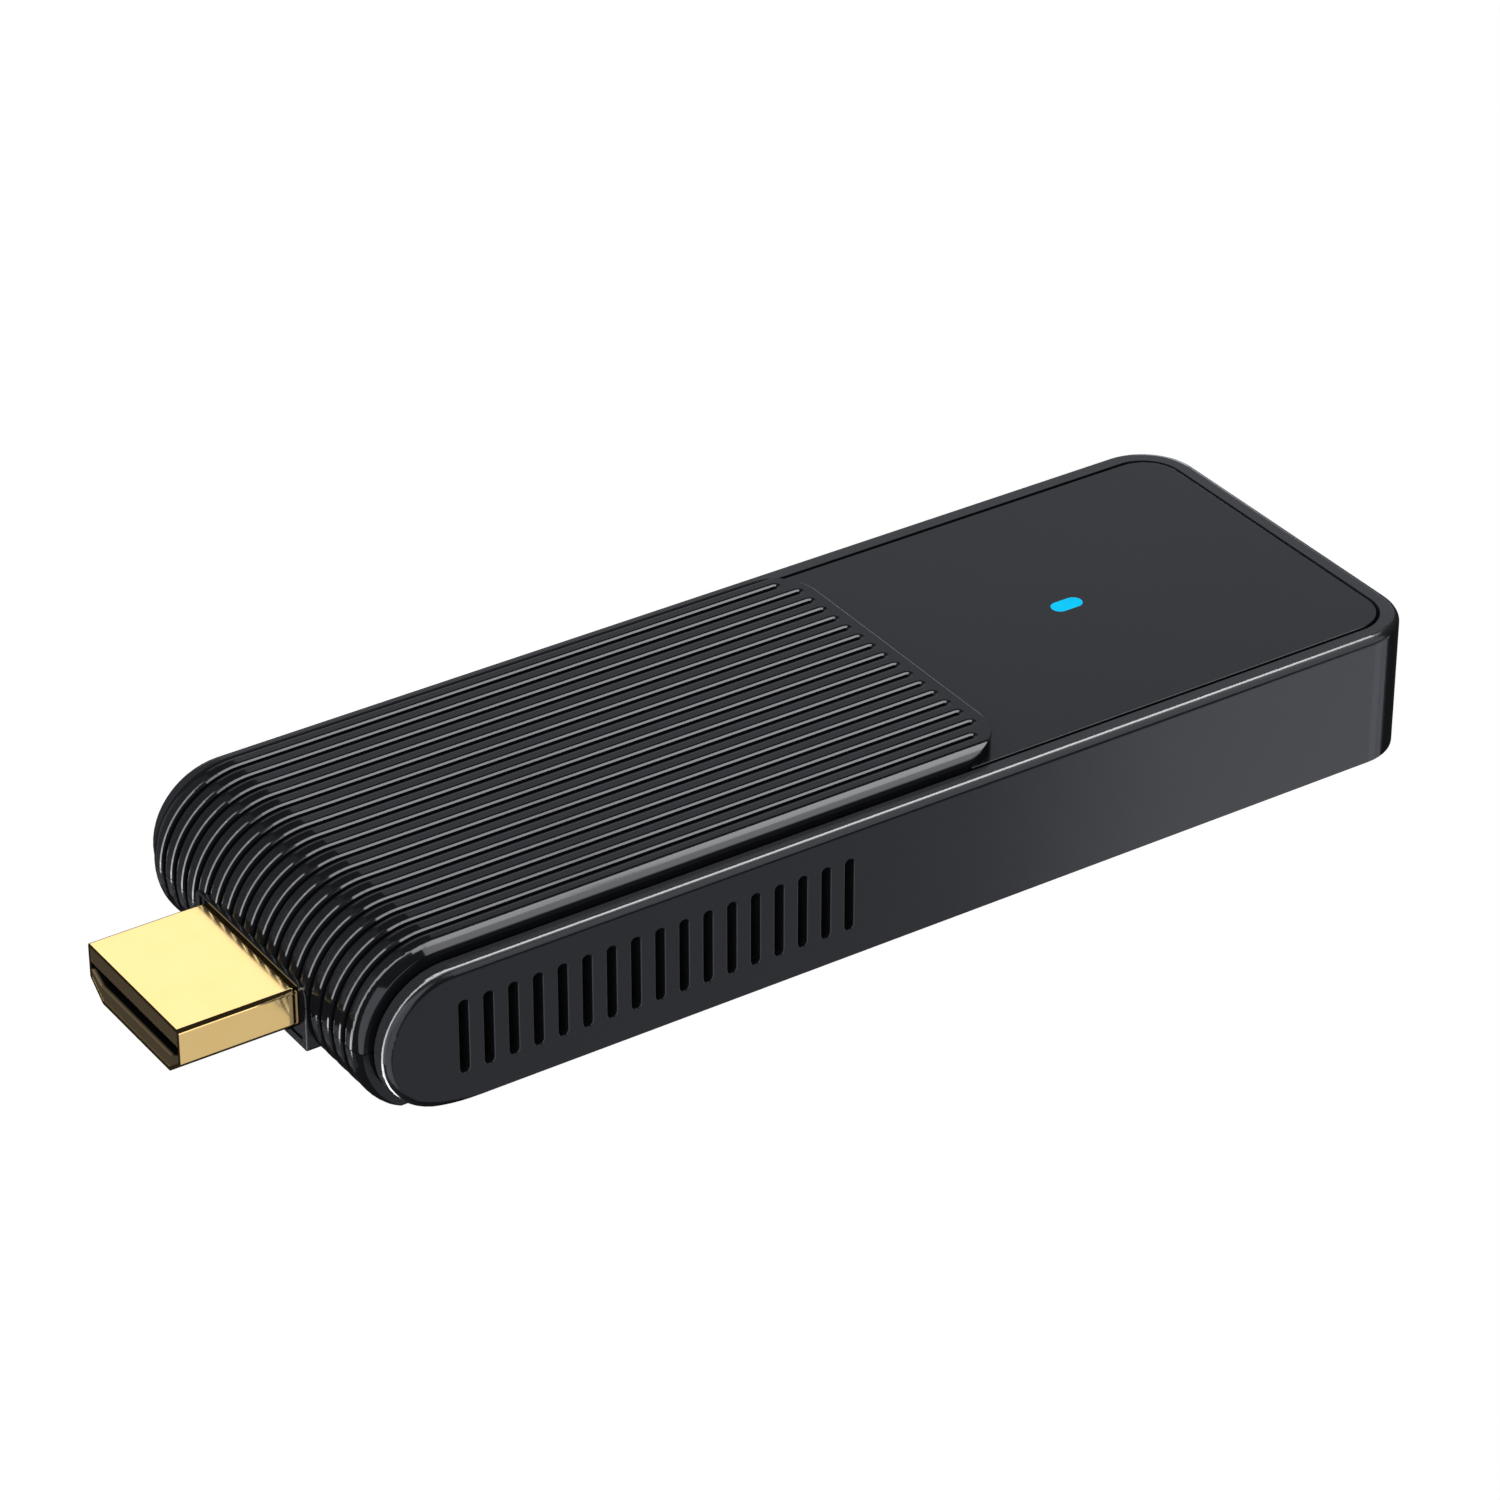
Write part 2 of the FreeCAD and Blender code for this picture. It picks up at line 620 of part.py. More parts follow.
def lip_pocket(body, name, half, top, run, fall):
    """Sloping lip round the mouths of all grooves on the flat top."""
    sk = new_sketch(body, "XY_Plane", name, top)
    for i, y in enumerate(RIB_Y):
        x1 = "rib_x1_side" if i in (0, len(RIB_Y) - 1) else "rib_x1"
        x1 += "-0.5*rib_w-lip_run-lip2_run"
        outline(sk, [
            ("fnose_x-1.5", "%s-%s" % (y, half.replace("+", "-"))),
            (x1, "%s-%s" % (y, half.replace("+", "-")), half, 1),
            (x1, "%s+%s" % (y, half)),
            ("fnose_x-1.5", "%s+%s" % (y, half)),
        ])
    f = feature(body, "Pocket", name, sk, fall or "rib_deep-lip_fall-lip2_fall")
    if run:
        f.TaperAngle = -math.degrees(math.atan(num(run) / num(fall)))
        f.setExpression("TaperAngle", "-atan(%s/(%s))" % (ref(run), ref(fall)))
    return f


def add_grooves(body, upper, v):
    """17 grooves along X that follow the nose arc; the upper piece also has the
    flat run with round rear ends. Each is a slot with a sloping lip."""
    sk = new_sketch(body, "YZ_Plane", "rib_nose", "fnose_x")
    t = "cnose_z+cnose_r"
    for y in RIB_Y:
        outline(sk, [
            (y + "-0.5*rib_w-lip_run-lip2_run", t),
            (y + "-0.5*rib_w-lip2_run", t + "-lip_fall"),
            (y + "-0.5*rib_w", t + "-lip_fall-lip2_fall"),
            (y + "-0.5*rib_w", t + "-rib_deep"),
            (y + "+0.5*rib_w", t + "-rib_deep"),
            (y + "+0.5*rib_w", t + "-lip_fall-lip2_fall"),
            (y + "+0.5*rib_w+lip2_run", t + "-lip_fall"),
            (y + "+0.5*rib_w+lip_run+lip2_run", t),
            (y + "+0.5*rib_w+lip_run+lip2_run", t + "+0.5"),
            (y + "-0.5*rib_w-lip_run-lip2_run", t + "+0.5"),
        ])
    turn = axis_line(sk, "-1", "cnose_z", "1", "cnose_z")
    f = body.newObject("PartDesign::Groove", body.Label + "_rib_nose")
    f.Profile = sk
    f.ReferenceAxis = turn
    f.Angle = 90.0 if upper else 176.0
    f.Reversed = True
    if volume(body) > v - 5.0:
        f.Reversed = False
    v = must_cut(body, v, "grooves round the nose")
    if upper:
        f = lip_pocket(body, "lip", "0.5*rib_w+lip_run+lip2_run", t, "lip_run", "lip_fall")
        v = must_cut(body, v, "outer lip slope")
        f = lip_pocket(body, "lip2", "0.5*rib_w+lip2_run", t + "-lip_fall", "lip2_run", "lip2_fall")
        v = must_cut(body, v, "inner lip slope")
        f = lip_pocket(body, "slots", "0.5*rib_w", t + "-lip_fall-lip2_fall", None, None)
        v = must_cut(body, v, "groove slots")
    return v


def band_sketch(body, name):
    """Both sloping bands in one section across the cover."""
    low, high = "cnose_z+cnose_r-band_drop", "cnose_z+cnose_r+0.5"
    sk = new_sketch(body, "YZ_Plane", name, "fnose_x")
    outline(sk, [
        ("band_y", "cnose_z+cnose_r", "band_r0", -1),
        ("band_y1", "cnose_z+cnose_r-band_drop1", "band_r", -1),
        ("cover_y", low),
        ("cover_y+0.5", low),
        ("cover_y+0.5", high),
        ("band_y", high),
    ])
    outline(sk, [
        ("-cover_y", low, "band_r", -1),
        ("-band_y1", "cnose_z+cnose_r-band_drop1", "band_r0", -1),
        ("-band_y", "cnose_z+cnose_r"),
        ("-band_y", high),
        ("-cover_y-0.5", high),
        ("-cover_y-0.5", low),
    ])
    return sk


def add_band(body, upper, v):
    """Sloping band along both long edges, round the nose and, on the upper
    piece, on along the flat top."""
    sk = band_sketch(body, "band_nose")
    turn = axis_line(sk, "-1", "cnose_z", "1", "cnose_z")
    f = body.newObject("PartDesign::Groove", body.Label + "_band_nose")
    f.Profile = sk
    f.ReferenceAxis = turn
    f.Angle = 91.0 if upper else 176.0
    f.Reversed = True
    if volume(body) > v - 0.5:
        f.Reversed = False
    v = must_cut(body, v, "band round the nose")
    if upper:
        sk = band_sketch(body, "band_run")
        f = feature(body, "Pocket", "band_run", sk, "cover_x1-fnose_x+1", reverse=True)
        v = must_cut(body, v, "band along the top")
    return f, v


# -------------------------------------------------------------- ribbed cover
# outer skin: nose arc from the parting line up, flat top, step over the panel
seam_dx = math.sqrt(VALUE["cnose_r"] ** 2 - (VALUE["seam_z"] - VALUE["cnose_z"]) ** 2)
lip_dx = math.sqrt(VALUE["cnose_lip"] ** 2 - (VALUE["seam_z"] - VALUE["cnose_z"]) ** 2)
in_dx = math.sqrt(VALUE["cnose_in"] ** 2 - (VALUE["seam_z"] - VALUE["cnose_z"]) ** 2)
cover = new_body("ribbed_cover")
sk = new_sketch(cover, "XZ_Plane", "skin")
outline(sk, [
    ("fnose_x", "top_z", "cnose_r", 1),
    ("fnose_x-%.9f" % seam_dx, "seam_z"),
    ("fnose_x-%.9f" % lip_dx, "seam_z", "cnose_lip", -1),
    ("fnose_x", "cnose_z+cnose_lip"),
    ("fnose_x", "ledge_z"),
    ("cover_step_x", "ledge_z"),
    ("cover_step_x", "rim_z"),
    ("cover_x1", "rim_z"),
    ("cover_x1", "top_z"),
])
skin = feature(cover, "Pad", "skin", sk, "2*cover_y", side="Symmetric")
v = volume(cover)


f, v = add_band(cover, True, v)
# rear corners in plan
sk = new_sketch(cover, "XY_Plane", "corners", "ledge_z-0.5")
outline(sk, [
    ("cover_x1-cover_corner", "cover_y", "cover_corner", -1),
    ("cover_x1", "cover_y-cover_corner"),
    ("cover_x1+0.5", "cover_y-cover_corner"),
    ("cover_x1+0.5", "cover_y+0.5"),
    ("cover_x1-cover_corner", "cover_y+0.5"),
])
outline(sk, [
    ("cover_x1", "-cover_y+cover_corner", "cover_corner", -1),
    ("cover_x1-cover_corner", "-cover_y"),
    ("cover_x1-cover_corner", "-cover_y-0.5"),
    ("cover_x1+0.5", "-cover_y-0.5"),
    ("cover_x1+0.5", "-cover_y+cover_corner"),
])
f = feature(cover, "Pocket", "corners", sk, "4", reverse=True)
v = must_cut(cover, v, "cover corners")


def cover_rear(e):
    m = middle(e)
    return abs(m.x - VALUE["cover_x1"]) < 1e-6 and abs(m.z - VALUE["top_z"]) < 1e-6 and \
        e.BoundBox.YLength > 10


f = fillet(cover, f, edges_where(f.Shape, cover_rear), "cover_edge", "rear_edge")
v = must_cut(cover, v, "cover rear edge rounding")
# hollow under the roof and behind the nose, between the two side lips
sk = new_sketch(cover, "XZ_Plane", "hollow")
outline(sk, [
    ("fnose_x", "cnose_z+cnose_in", "cnose_in", 1),
    ("fnose_x-%.9f" % in_dx, "seam_z"),
    ("fnose_x-%.9f" % in_dx, "seam_z-1"),
    ("fnose_x", "seam_z-1"),
    ("fnose_x", "ledge_z-1"),
    ("cover_wall_x", "ledge_z-1"),
    ("cover_wall_x", "cover_roof_z"),
])
f = feature(cover, "Pocket", "hollow", sk, "2*cover_in_y", side="Symmetric")
v = must_cut(cover, v, "cover hollow")
v = add_grooves(cover, True, v)
# upper half of the plug collar
sk = new_sketch(cover, "YZ_Plane", "collar", "collar_x0")
outline(sk, [
    ("-collar_y", "seam_z"),
    ("collar_y", "seam_z"),
    ("collar_y", "collar_hi-collar_r_hi", "collar_r_hi", 1),
    ("collar_y-collar_r_hi", "collar_hi"),
    ("-collar_y+collar_r_hi", "collar_hi", "collar_r_hi", 1),
    ("-collar_y", "collar_hi-collar_r_hi"),
])
f = feature(cover, "Pad", "collar", sk, "collar_x1-collar_x0")
v = must_add(cover, v, "upper collar")


def collar_edge(e):
    m = middle(e)
    b = e.BoundBox
    if b.YLength > 10 and abs(m.x - VALUE["collar_x0"]) < 1e-6 and abs(m.z - VALUE["collar_hi"]) < 1e-6:
        return True
    return abs(m.x - VALUE["collar_x0"]) < 1e-6 and abs(abs(m.y) - VALUE["collar_y"]) < 1e-6 and \
        b.ZLength > 1 and b.YLength < 1e-6


f = fillet(cover, f, edges_where(f.Shape, collar_edge), "0.1", "collar_edge")
v = must_cut(cover, v, "collar edge rounding")
sk = new_sketch(cover, "YZ_Plane", "collar_mouth", "collar_x0-1")
rectangle(sk, "-ring_y", "ring_y", "seam_z-1", "ring_hi")
f = feature(cover, "Pocket", "collar_mouth", sk, "4.5", reverse=True)
v = must_cut(cover, v, "collar mouth, upper half")


keep(cover, "ribbed_cover")

# -------------------------------------------------------------- bottom cover
seam_lo = "seam_z-seam_gap"
lo = num(seam_lo) - VALUE["cnose_z"]
seam2_dx = math.sqrt(VALUE["cnose_r"] ** 2 - lo ** 2)
in2_dx = math.sqrt(VALUE["cnose_in"] ** 2 - lo ** 2)
foot_dx = math.sqrt(VALUE["cnose_r"] ** 2 - VALUE["cnose_z"] ** 2)
inner_dx = math.sqrt(VALUE["cnose_in"] ** 2 - (VALUE["cnose_z"] - VALUE["base_t"]) ** 2)
bottom = new_body("bottom_cover")
sk = new_sketch(bottom, "XZ_Plane", "skin")
outline(sk, [
    ("fnose_x-%.9f" % seam2_dx, seam_lo, "cnose_r", 1),
    ("fnose_x-%.9f" % foot_dx, "0"),
    ("30", "0"),
    ("30", "base_t"),
    ("fnose_x-%.9f" % inner_dx, "base_t", "cnose_in", -1),
    ("fnose_x-%.9f" % in2_dx, seam_lo),
])
skin = feature(bottom, "Pad", "skin", sk, "2*cover_y", side="Symmetric")
v = volume(bottom)


f, v = add_band(bottom, False, v)
sk = new_sketch(bottom, "XY_Plane", "plate")
outline(sk, [
    ("base_lap", "-base_y"),
    ("base_x1-base_r", "-base_y", "base_r", 1),
    ("base_x1", "-base_y+base_r"),
    ("base_x1", "base_y-base_r", "base_r", 1),
    ("base_x1-base_r", "base_y"),
    ("base_lap", "base_y"),
])
f = feature(bottom, "Pad", "plate", sk, "base_t")
v = must_add(bottom, v, "base plate")
v = add_grooves(bottom, False, v)
# bare shallow recess in the underside
sk = new_sketch(bottom, "XY_Plane", "recess")
outline(sk, [
    ("recess_x0+2", "-recess_y"),
    ("recess_x1-2", "-recess_y", "2", 1),
    ("recess_x1", "-recess_y+2"),
    ("recess_x1", "recess_y-2", "2", 1),
    ("recess_x1-2", "recess_y"),
    ("recess_x0+2", "recess_y", "2", 1),
    ("recess_x0", "recess_y-2"),
    ("recess_x0", "-recess_y+2", "2", 1),
])
f = feature(bottom, "Pocket", "recess", sk, "pad_recess", reverse=True)
v = must_cut(bottom, v, "underside recess")
# lower half of the plug collar
sk = new_sketch(bottom, "YZ_Plane", "collar", "collar_x0")
outline(sk, [
    ("-collar_y", "collar_lo+collar_r_lo", "collar_r_lo", 1),
    ("-collar_y+collar_r_lo", "collar_lo"),
    ("collar_y-collar_r_lo", "collar_lo", "collar_r_lo", 1),
    ("collar_y", "collar_lo+collar_r_lo"),
    ("collar_y", seam_lo),
    ("-collar_y", seam_lo),
])
f = feature(bottom, "Pad", "collar", sk, "collar_x1-collar_x0+0.9")
v = must_add(bottom, v, "lower collar")


def collar_edge_low(e):
    m = middle(e)
    b = e.BoundBox
    if b.YLength > 10 and abs(m.x - VALUE["collar_x0"]) < 1e-6 and abs(m.z - VALUE["collar_lo"]) < 1e-6:
        return True
    return abs(m.x - VALUE["collar_x0"]) < 1e-6 and abs(abs(m.y) - VALUE["collar_y"]) < 1e-6 and \
        b.ZLength > 1 and b.YLength < 1e-6


f = fillet(bottom, f, edges_where(f.Shape, collar_edge_low), "0.1", "collar_edge")
v = must_cut(bottom, v, "lower collar edge rounding")
sk = new_sketch(bottom, "YZ_Plane", "collar_mouth", "collar_x0-1")
outline(sk, [
    ("-ring_y", "ring_lo"),
    ("-5.75", "ring_lo"),
    ("-plug_y_lo-0.1", "plug_lo-0.05"),
    ("plug_y_lo+0.1", "plug_lo-0.05"),
    ("5.75", "ring_lo"),
    ("ring_y", "ring_lo"),
    ("ring_y", "seam_z+1"),
    ("-ring_y", "seam_z+1"),
])
f = feature(bottom, "Pocket", "collar_mouth", sk, "5.5", reverse=True)
v = must_cut(bottom, v, "collar mouth, lower half")
# snap tabs with a barb that sits over the frame's catches
sk = new_sketch(bottom, "XY_Plane", "snaps", "base_t")
for cx in ("4", "24", "44"):
    for s in (-1, 1):
        a, b = ("wall_in-0.5-snap_t", "wall_in-0.5") if s > 0 else ("-wall_in+0.5", "-wall_in+0.5+snap_t")
        rectangle(sk, cx + "-0.5*snap_len", cx + "+0.5*snap_len", a, b)
f = feature(bottom, "Pad", "snaps", sk, "snap_top-base_t")
v = must_add(bottom, v, "snap tabs")
sk = new_sketch(bottom, "XY_Plane", "barbs", "7.3")
for cx in ("4", "24", "44"):
    for s in (-1, 1):
        a, b = ("wall_in-0.5-snap_t", "wall_in-0.1") if s > 0 else ("-wall_in+0.1", "-wall_in+0.5+snap_t")
        rectangle(sk, cx + "-0.5*snap_len", cx + "+0.5*snap_len", a, b)
f = feature(bottom, "Pad", "barbs", sk, "0.9")
v = must_add(bottom, v, "snap barbs")
keep(bottom, "bottom_cover")

# ----------------------------------------------------------------- top panel
panel = new_body("top_panel")
sk = new_sketch(panel, "XY_Plane", "plan", "panel_z0")
outline(sk, [
    ("panel_x0", "-panel_y"),
    ("panel_x1-panel_r", "-panel_y", "panel_r", 1),
    ("panel_x1", "-panel_y+panel_r"),
    ("panel_x1", "panel_y-panel_r", "panel_r", 1),
    ("panel_x1-panel_r", "panel_y"),
    ("panel_x0", "panel_y"),
])
plate = feature(panel, "Pad", "plate", sk, "rim_z-panel_z0")
v = volume(panel)


def panel_top(e):
    m = middle(e)
    return abs(m.z - VALUE["rim_z"]) < 1e-6 and e.BoundBox.ZLength < 1e-6 and m.x > VALUE["panel_x0"] + 0.1


f = fillet(panel, plate, edges_where(plate.Shape, panel_top), "0.05", "edge")
v = must_cut(panel, v, "panel edge rounding")
sk = new_sketch(panel, "XY_Plane", "window", "panel_z0-1")
stadium_x(sk, "led_x", "0", "led_len", "led_wid")
f = feature(panel, "Pocket", "window", sk, "4", reverse=True)
v = must_cut(panel, v, "light window")
keep(panel, "top_panel")

# tape between the ledge and the panel
tape = new_body("panel_tape")
sk = new_sketch(tape, "XY_Plane", "plan", "ledge_z")
outline(sk, [
    ("bar2_x0+2.9", "-panel_y+0.1"),
    ("panel_x1-panel_r", "-panel_y+0.1", "panel_r-0.1", 1),
    ("panel_x1-0.1", "-panel_y+panel_r"),
    ("panel_x1-0.1", "panel_y-panel_r", "panel_r-0.1", 1),
    ("panel_x1-panel_r", "panel_y-0.1"),
    ("bar2_x0+2.9", "panel_y-0.1"),
])
rectangle(sk, "bar2_x1", "bar3_x0", "-ledge_y", "ledge_y")
rear_opening(sk, "bar3_x1")
f = feature(tape, "Pad", "sheet", sk, "panel_z0-ledge_z")
doc.recompute()
keep(tape, "panel_tape")

# light pipe: window head, flange under the panel, stem down to the lamp
pipe = new_body("led_light_pipe")
sk = new_sketch(pipe, "XY_Plane", "head", "panel_z0")
stadium_x(sk, "led_x", "0", "led_len", "led_wid")
f = feature(pipe, "Pad", "head", sk, "rim_z-panel_z0")
v = volume(pipe)
sk = new_sketch(pipe, "XY_Plane", "flange", "panel_z0-0.9")
outline(sk, [
    ("led_x-0.75", "-1.45"),
    ("led_x+0.75", "-1.45", "1.45", 1),
    ("led_x+0.75", "1.45"),
    ("led_x-0.75", "1.45", "1.45", 1),
])
f = feature(pipe, "Pad", "flange", sk, "0.9")
v = must_add(pipe, v, "pipe flange")
sk = new_sketch(pipe, "XY_Plane", "stem", "5.45")
stadium_x(sk, "led_x", "0", "led_len", "led_wid")
f = feature(pipe, "Pad", "stem", sk, "panel_z0-0.9-5.45")
v = must_add(pipe, v, "pipe stem")
keep(pipe, "led_light_pipe")

# ---------------------------------------------------------------- plug bezel
ring = new_body("plug_bezel")
sk = new_sketch(ring, "YZ_Plane", "ring", "ring_x0")
# a frame round the plug's top and sides; its foot ends where the plug tapers in
outline(sk, [
    ("-5.75", "ring_lo"),
    ("-plug_y-plug_gap", "plug_knee"),
    ("-plug_y-plug_gap", "plug_hi+plug_gap"),
    ("plug_y+plug_gap", "plug_hi+plug_gap"),
    ("plug_y+plug_gap", "plug_knee"),
    ("5.75", "ring_lo"),
    ("ring_y", "ring_lo"),
    ("ring_y", "ring_hi"),
    ("-ring_y", "ring_hi"),
    ("-ring_y", "ring_lo"),
])
f = feature(ring, "Pad", "ring", sk, "1.9")
doc.recompute()
keep(ring, "plug_bezel")

# ---------------------------------------------------------------- plug shell
shell = new_body("hdmi_plug_shell")
sk = new_sketch(shell, "YZ_Plane", "outer", "tip_x")
outline(sk, [
    ("-plug_y_lo", "plug_lo"),
    ("plug_y_lo", "plug_lo"),
    ("plug_y", "plug_knee"),
    ("plug_y", "plug_hi"),
    ("-plug_y", "plug_hi"),
    ("-plug_y", "plug_knee"),
])
f = feature(shell, "Pad", "outer", sk, "plug_x1-tip_x")
v = volume(shell)


def long_edge(e):
    b = e.BoundBox
    return b.XLength > 5 and b.YLength < 1e-6 and b.ZLength < 1e-6


f = fillet(shell, f, edges_where(f.Shape, long_edge), "0.36", "edges")
v = must_cut(shell, v, "plug edge rounding")
sk = new_sketch(shell, "YZ_Plane", "inner", "tip_x-1")
outline(sk, [
    ("-plug_y_lo+0.11", "plug_lo+plug_t"),
    ("plug_y_lo-0.11", "plug_lo+plug_t"),
    ("plug_y-plug_t", "plug_knee+0.12"),
    ("plug_y-plug_t", "plug_hi-plug_t"),
    ("-plug_y+plug_t", "plug_hi-plug_t"),
    ("-plug_y+plug_t", "plug_knee+0.12"),
])
f = feature(shell, "Pocket", "inner", sk, "plug_x1-tip_x+2", reverse=True)
v = must_cut(shell, v, "plug inside")
# two solder tabs that grip the board's tongue
sk = new_sketch(shell, "XZ_Plane", "tabs", "0")
rectangle(sk, "plug_x1-1", "plug_x1+2.4", "board_z0-0.6", "board_z1+0.6")
f = feature(shell, "Pad", "tabs", sk, "2*plug_y", side="Symmetric")
v = must_add(shell, v, "solder tabs")
sk = new_sketch(shell, "XZ_Plane", "tab_gap", "0")
rectangle(sk, "plug_x1-1.5", "plug_x1+3", "board_z0-0.7", "board_z1+0.7")
f = feature(shell, "Pocket", "tab_gap", sk, "2*plug_y-2*plug_t", side="Symmetric")
v = must_cut(shell, v, "gap between the tabs")
keep(shell, "hdmi_plug_shell")

# contacts: ten above, nine below, a half pitch apart
pins = []
for i in range(10):
    y = "%.1f" % (-4.5 + i)
    pins.append(box("contact_top_%d" % (i + 1), "pin_x0", "pin_x1", y + "-0.5*pin_w", y + "+0.5*pin_w",
                    "board_z1", "slot_hi"))
for i in range(9):
    y = "%.1f" % (-4.0 + i)
    pins.append(box("contact_low_%d" % (i + 1), "pin_x0", "pin_x1", y + "-0.5*pin_w", y + "+0.5*pin_w",
                    "slot_lo", "board_z0"))
contacts = group("hdmi_contacts", pins)

# the moulded inside of the plug, with the mouth slot
core = new_body("hdmi_core")
sk = new_sketch(core, "YZ_Plane", "outer", "tip_x+0.04")
outline(sk, [
    ("-plug_y_lo+0.11", "plug_lo+plug_t"),
    ("plug_y_lo-0.11", "plug_lo+plug_t"),
    ("plug_y-plug_t", "plug_knee+0.12"),
    ("plug_y-plug_t", "plug_hi-plug_t"),
    ("-plug_y+plug_t", "plug_hi-plug_t"),
    ("-plug_y+plug_t", "plug_knee+0.12"),
])
f = feature(core, "Pad", "outer", sk, "plug_x1-tip_x-1.1")
v = volume(core)
sk = new_sketch(core, "YZ_Plane", "slot", "tip_x-1")
outline(sk, [
    ("-5.37", "slot_lo"),
    ("5.37", "slot_lo"),
    ("plug_y-plug_t+0.1", "4.28"),
    ("plug_y-plug_t+0.1", "slot_hi"),
    ("-plug_y+plug_t-0.1", "slot_hi"),
    ("-plug_y+plug_t-0.1", "4.28"),
])
f = feature(core, "Pocket", "slot", sk, "slot_x1-tip_x+1", reverse=True)
v = must_cut(core, v, "mouth slot")
insulator = cut("hdmi_insulator", core, contacts)
keep(insulator, "hdmi_insulator")
keep(contacts, "hdmi_contacts")

# --------------------------------------------------------------------- board
board = new_body("main_board")
sk = new_sketch(board, "XY_Plane", "plan", "board_z0")
outline(sk, [
    ("board_tongue_x", "-board_tongue_y"),
    ("board_x0", "-board_tongue_y"),
    ("board_x0", "-board_y"),
    ("board_x1-1.5", "-board_y", "1.5", 1),
    ("board_x1", "-board_y+1.5"),
    ("board_x1", "board_y-1.5", "1.5", 1),
    ("board_x1-1.5", "board_y"),
    ("board_x0", "board_y"),
    ("board_x0", "board_tongue_y"),
    ("board_tongue_x", "board_tongue_y"),
])
for sx in ("screw_x0", "screw_x1"):
    for sy in ("-screw_y", "screw_y"):
        circle(sk, sx, sy, "screw_clear")
f = feature(board, "Pad", "plate", sk, "board_z1-board_z0")
doc.recompute()
keep(board, "main_board")

# chips and can
Z = "board_z1"
keep(box("system_chip", "-23", "-9", "-7", "7", Z, Z + "+1.2"), "system_chip")
ram = [box("memory_1", "-7.6", "0.2", "-11.2", "-0.7", Z, Z + "+1"),
       box("memory_2", "-7.6", "0.2", "0.7", "11.2", Z, Z + "+1")]
keep(group("memory_chips", ram), "memory_chips")
keep(box("flash_chip", "3.6", "15.1", "-11", "2", Z, Z + "+1"), "flash_chip")
keep(box("power_chip", "17.6", "22.6", "3.4", "8.4", Z, Z + "+0.9"), "power_chip")
# the can: four walls in one frame, then a lid that slips over it
fence_out = box("fence_outside", "-25.2", "1.6", "-12.2", "12.2", Z, Z + "+2.2")
fence_in = box("fence_inside", "-25", "1.4", "-12", "12", Z + "-1", Z + "+3")
keep(cut("shield_fence", fence_out, fence_in), "shield_fence")
lid_out = box("lid_outside", "-25.45", "1.85", "-12.45", "12.45", Z + "+1.0", Z + "+2.4")
lid_in = box("lid_inside", "-25.25", "1.65", "-12.25", "12.25", Z, Z + "+2.2")
lid_raw = cut("lid_raw", lid_out, lid_in)
lid = rounded("shield_lid", lid_raw, 0.15, lambda e: abs(middle(e).z - (VALUE["board_z1"] + 2.4)) < 1e-6)
keep(lid, "shield_lid")
keep(box("chip_pad", "-22.5", "-9.5", "-6.5", "6.5", Z + "+1.2", Z + "+2.2"), "chip_pad")
keep(box("lid_pad", "-23", "-1", "-10", "10", Z + "+2.4", "7.9"), "lid_pad")
# radio module: small board with its can
mod_a = box("module_board", "16", "28.4", "-13.6", "-1.6", Z, Z + "+0.6")
mod_b = box("module_can", "16.5", "27.9", "-13.1", "-2.1", Z + "+0.6", Z + "+2.1")
keep(fuse("wireless_module", [mod_a, mod_b]), "wireless_module")

# heat sink: base plate and twelve fins along X
sink_parts = [box("sink_base", "-30.4", "7.6", "-13.4", "13.4", "7.9", "8.9")]
for i in range(12):
    y = "%.2f" % (-12.1 + 2.2 * i)
    sink_parts.append(box("sink_fin_%d" % (i + 1), "-29.8", "7", y + "-0.4", y + "+0.4", "8.8", "11.2"))
keep(fuse("heat_sink", sink_parts), "heat_sink")

# antennas: two stamped strips at the rear corners of the board
ant = []
for s, tag in ((-1, "a"), (1, "b")):
    y0, y1 = ("13.2", "13.45") if s > 0 else ("-13.45", "-13.2")
    post1 = box("antenna_post_" + tag, "40.2", "41.2", y0, y1, Z, Z + "+3.4")
    post2 = box("antenna_feed_" + tag, "43", "43.8", y0, y1, Z, Z + "+3.4")
    arm = box("antenna_arm_" + tag, "40.2", "48.6", y0, y1, Z + "+2.6", Z + "+3.8")
    ant.append(fuse("antenna_" + tag, [post1, post2, arm]))
keep(group("antennas", ant), "antennas")

keep(box("status_led", "led_x-0.8", "led_x+0.8", "-0.4", "0.4", Z, Z + "+0.6"), "status_led")

# small parts on the board
crystals = [box("crystal_1", "30.4", "33.6", "-8.6", "-6.1", Z, Z + "+0.8"),
            box("crystal_2", "-30.4", "-27.2", "-3.2", "-0.7", Z, Z + "+0.8")]
keep(group("crystals", crystals), "crystals")
coils = []
for i, (cx, cy) in enumerate(((26.2, 5.6), (26.2, 10.2), (20.1, 11.6))):
    raw = box("coil_raw_%d" % (i + 1), "%.2f" % (cx - 1.25), "%.2f" % (cx + 1.25),
              "%.2f" % (cy - 1.25), "%.2f" % (cy + 1.25), Z, Z + "+1.4")
    coils.append(rounded("inductor_%d" % (i + 1), raw, 0.45,
                         lambda e: e.BoundBox.ZLength > 1))
keep(group("inductors", coils), "inductors")
caps = []
spots = [(-28.8, 2.2), (-28.8, 4.2), (-28.8, 6.2), (-28.8, 8.2), (4.6, 4.6), (6.6, 4.6), (8.6, 4.6), (10.6, 4.6),
         (12.6, 4.6), (4.6, 8.4), (6.6, 8.4), (8.6, 8.4), (10.6, 8.4), (12.6, 8.4), (30.4, 4.6), (30.4, 6.6),
         (30.4, 8.6), (30.4, 10.6), (34.2, 4.6), (34.2, 6.6), (42.4, -6.4), (42.4, -3.6), (42.4, 6.4), (42.4, 3.6)]
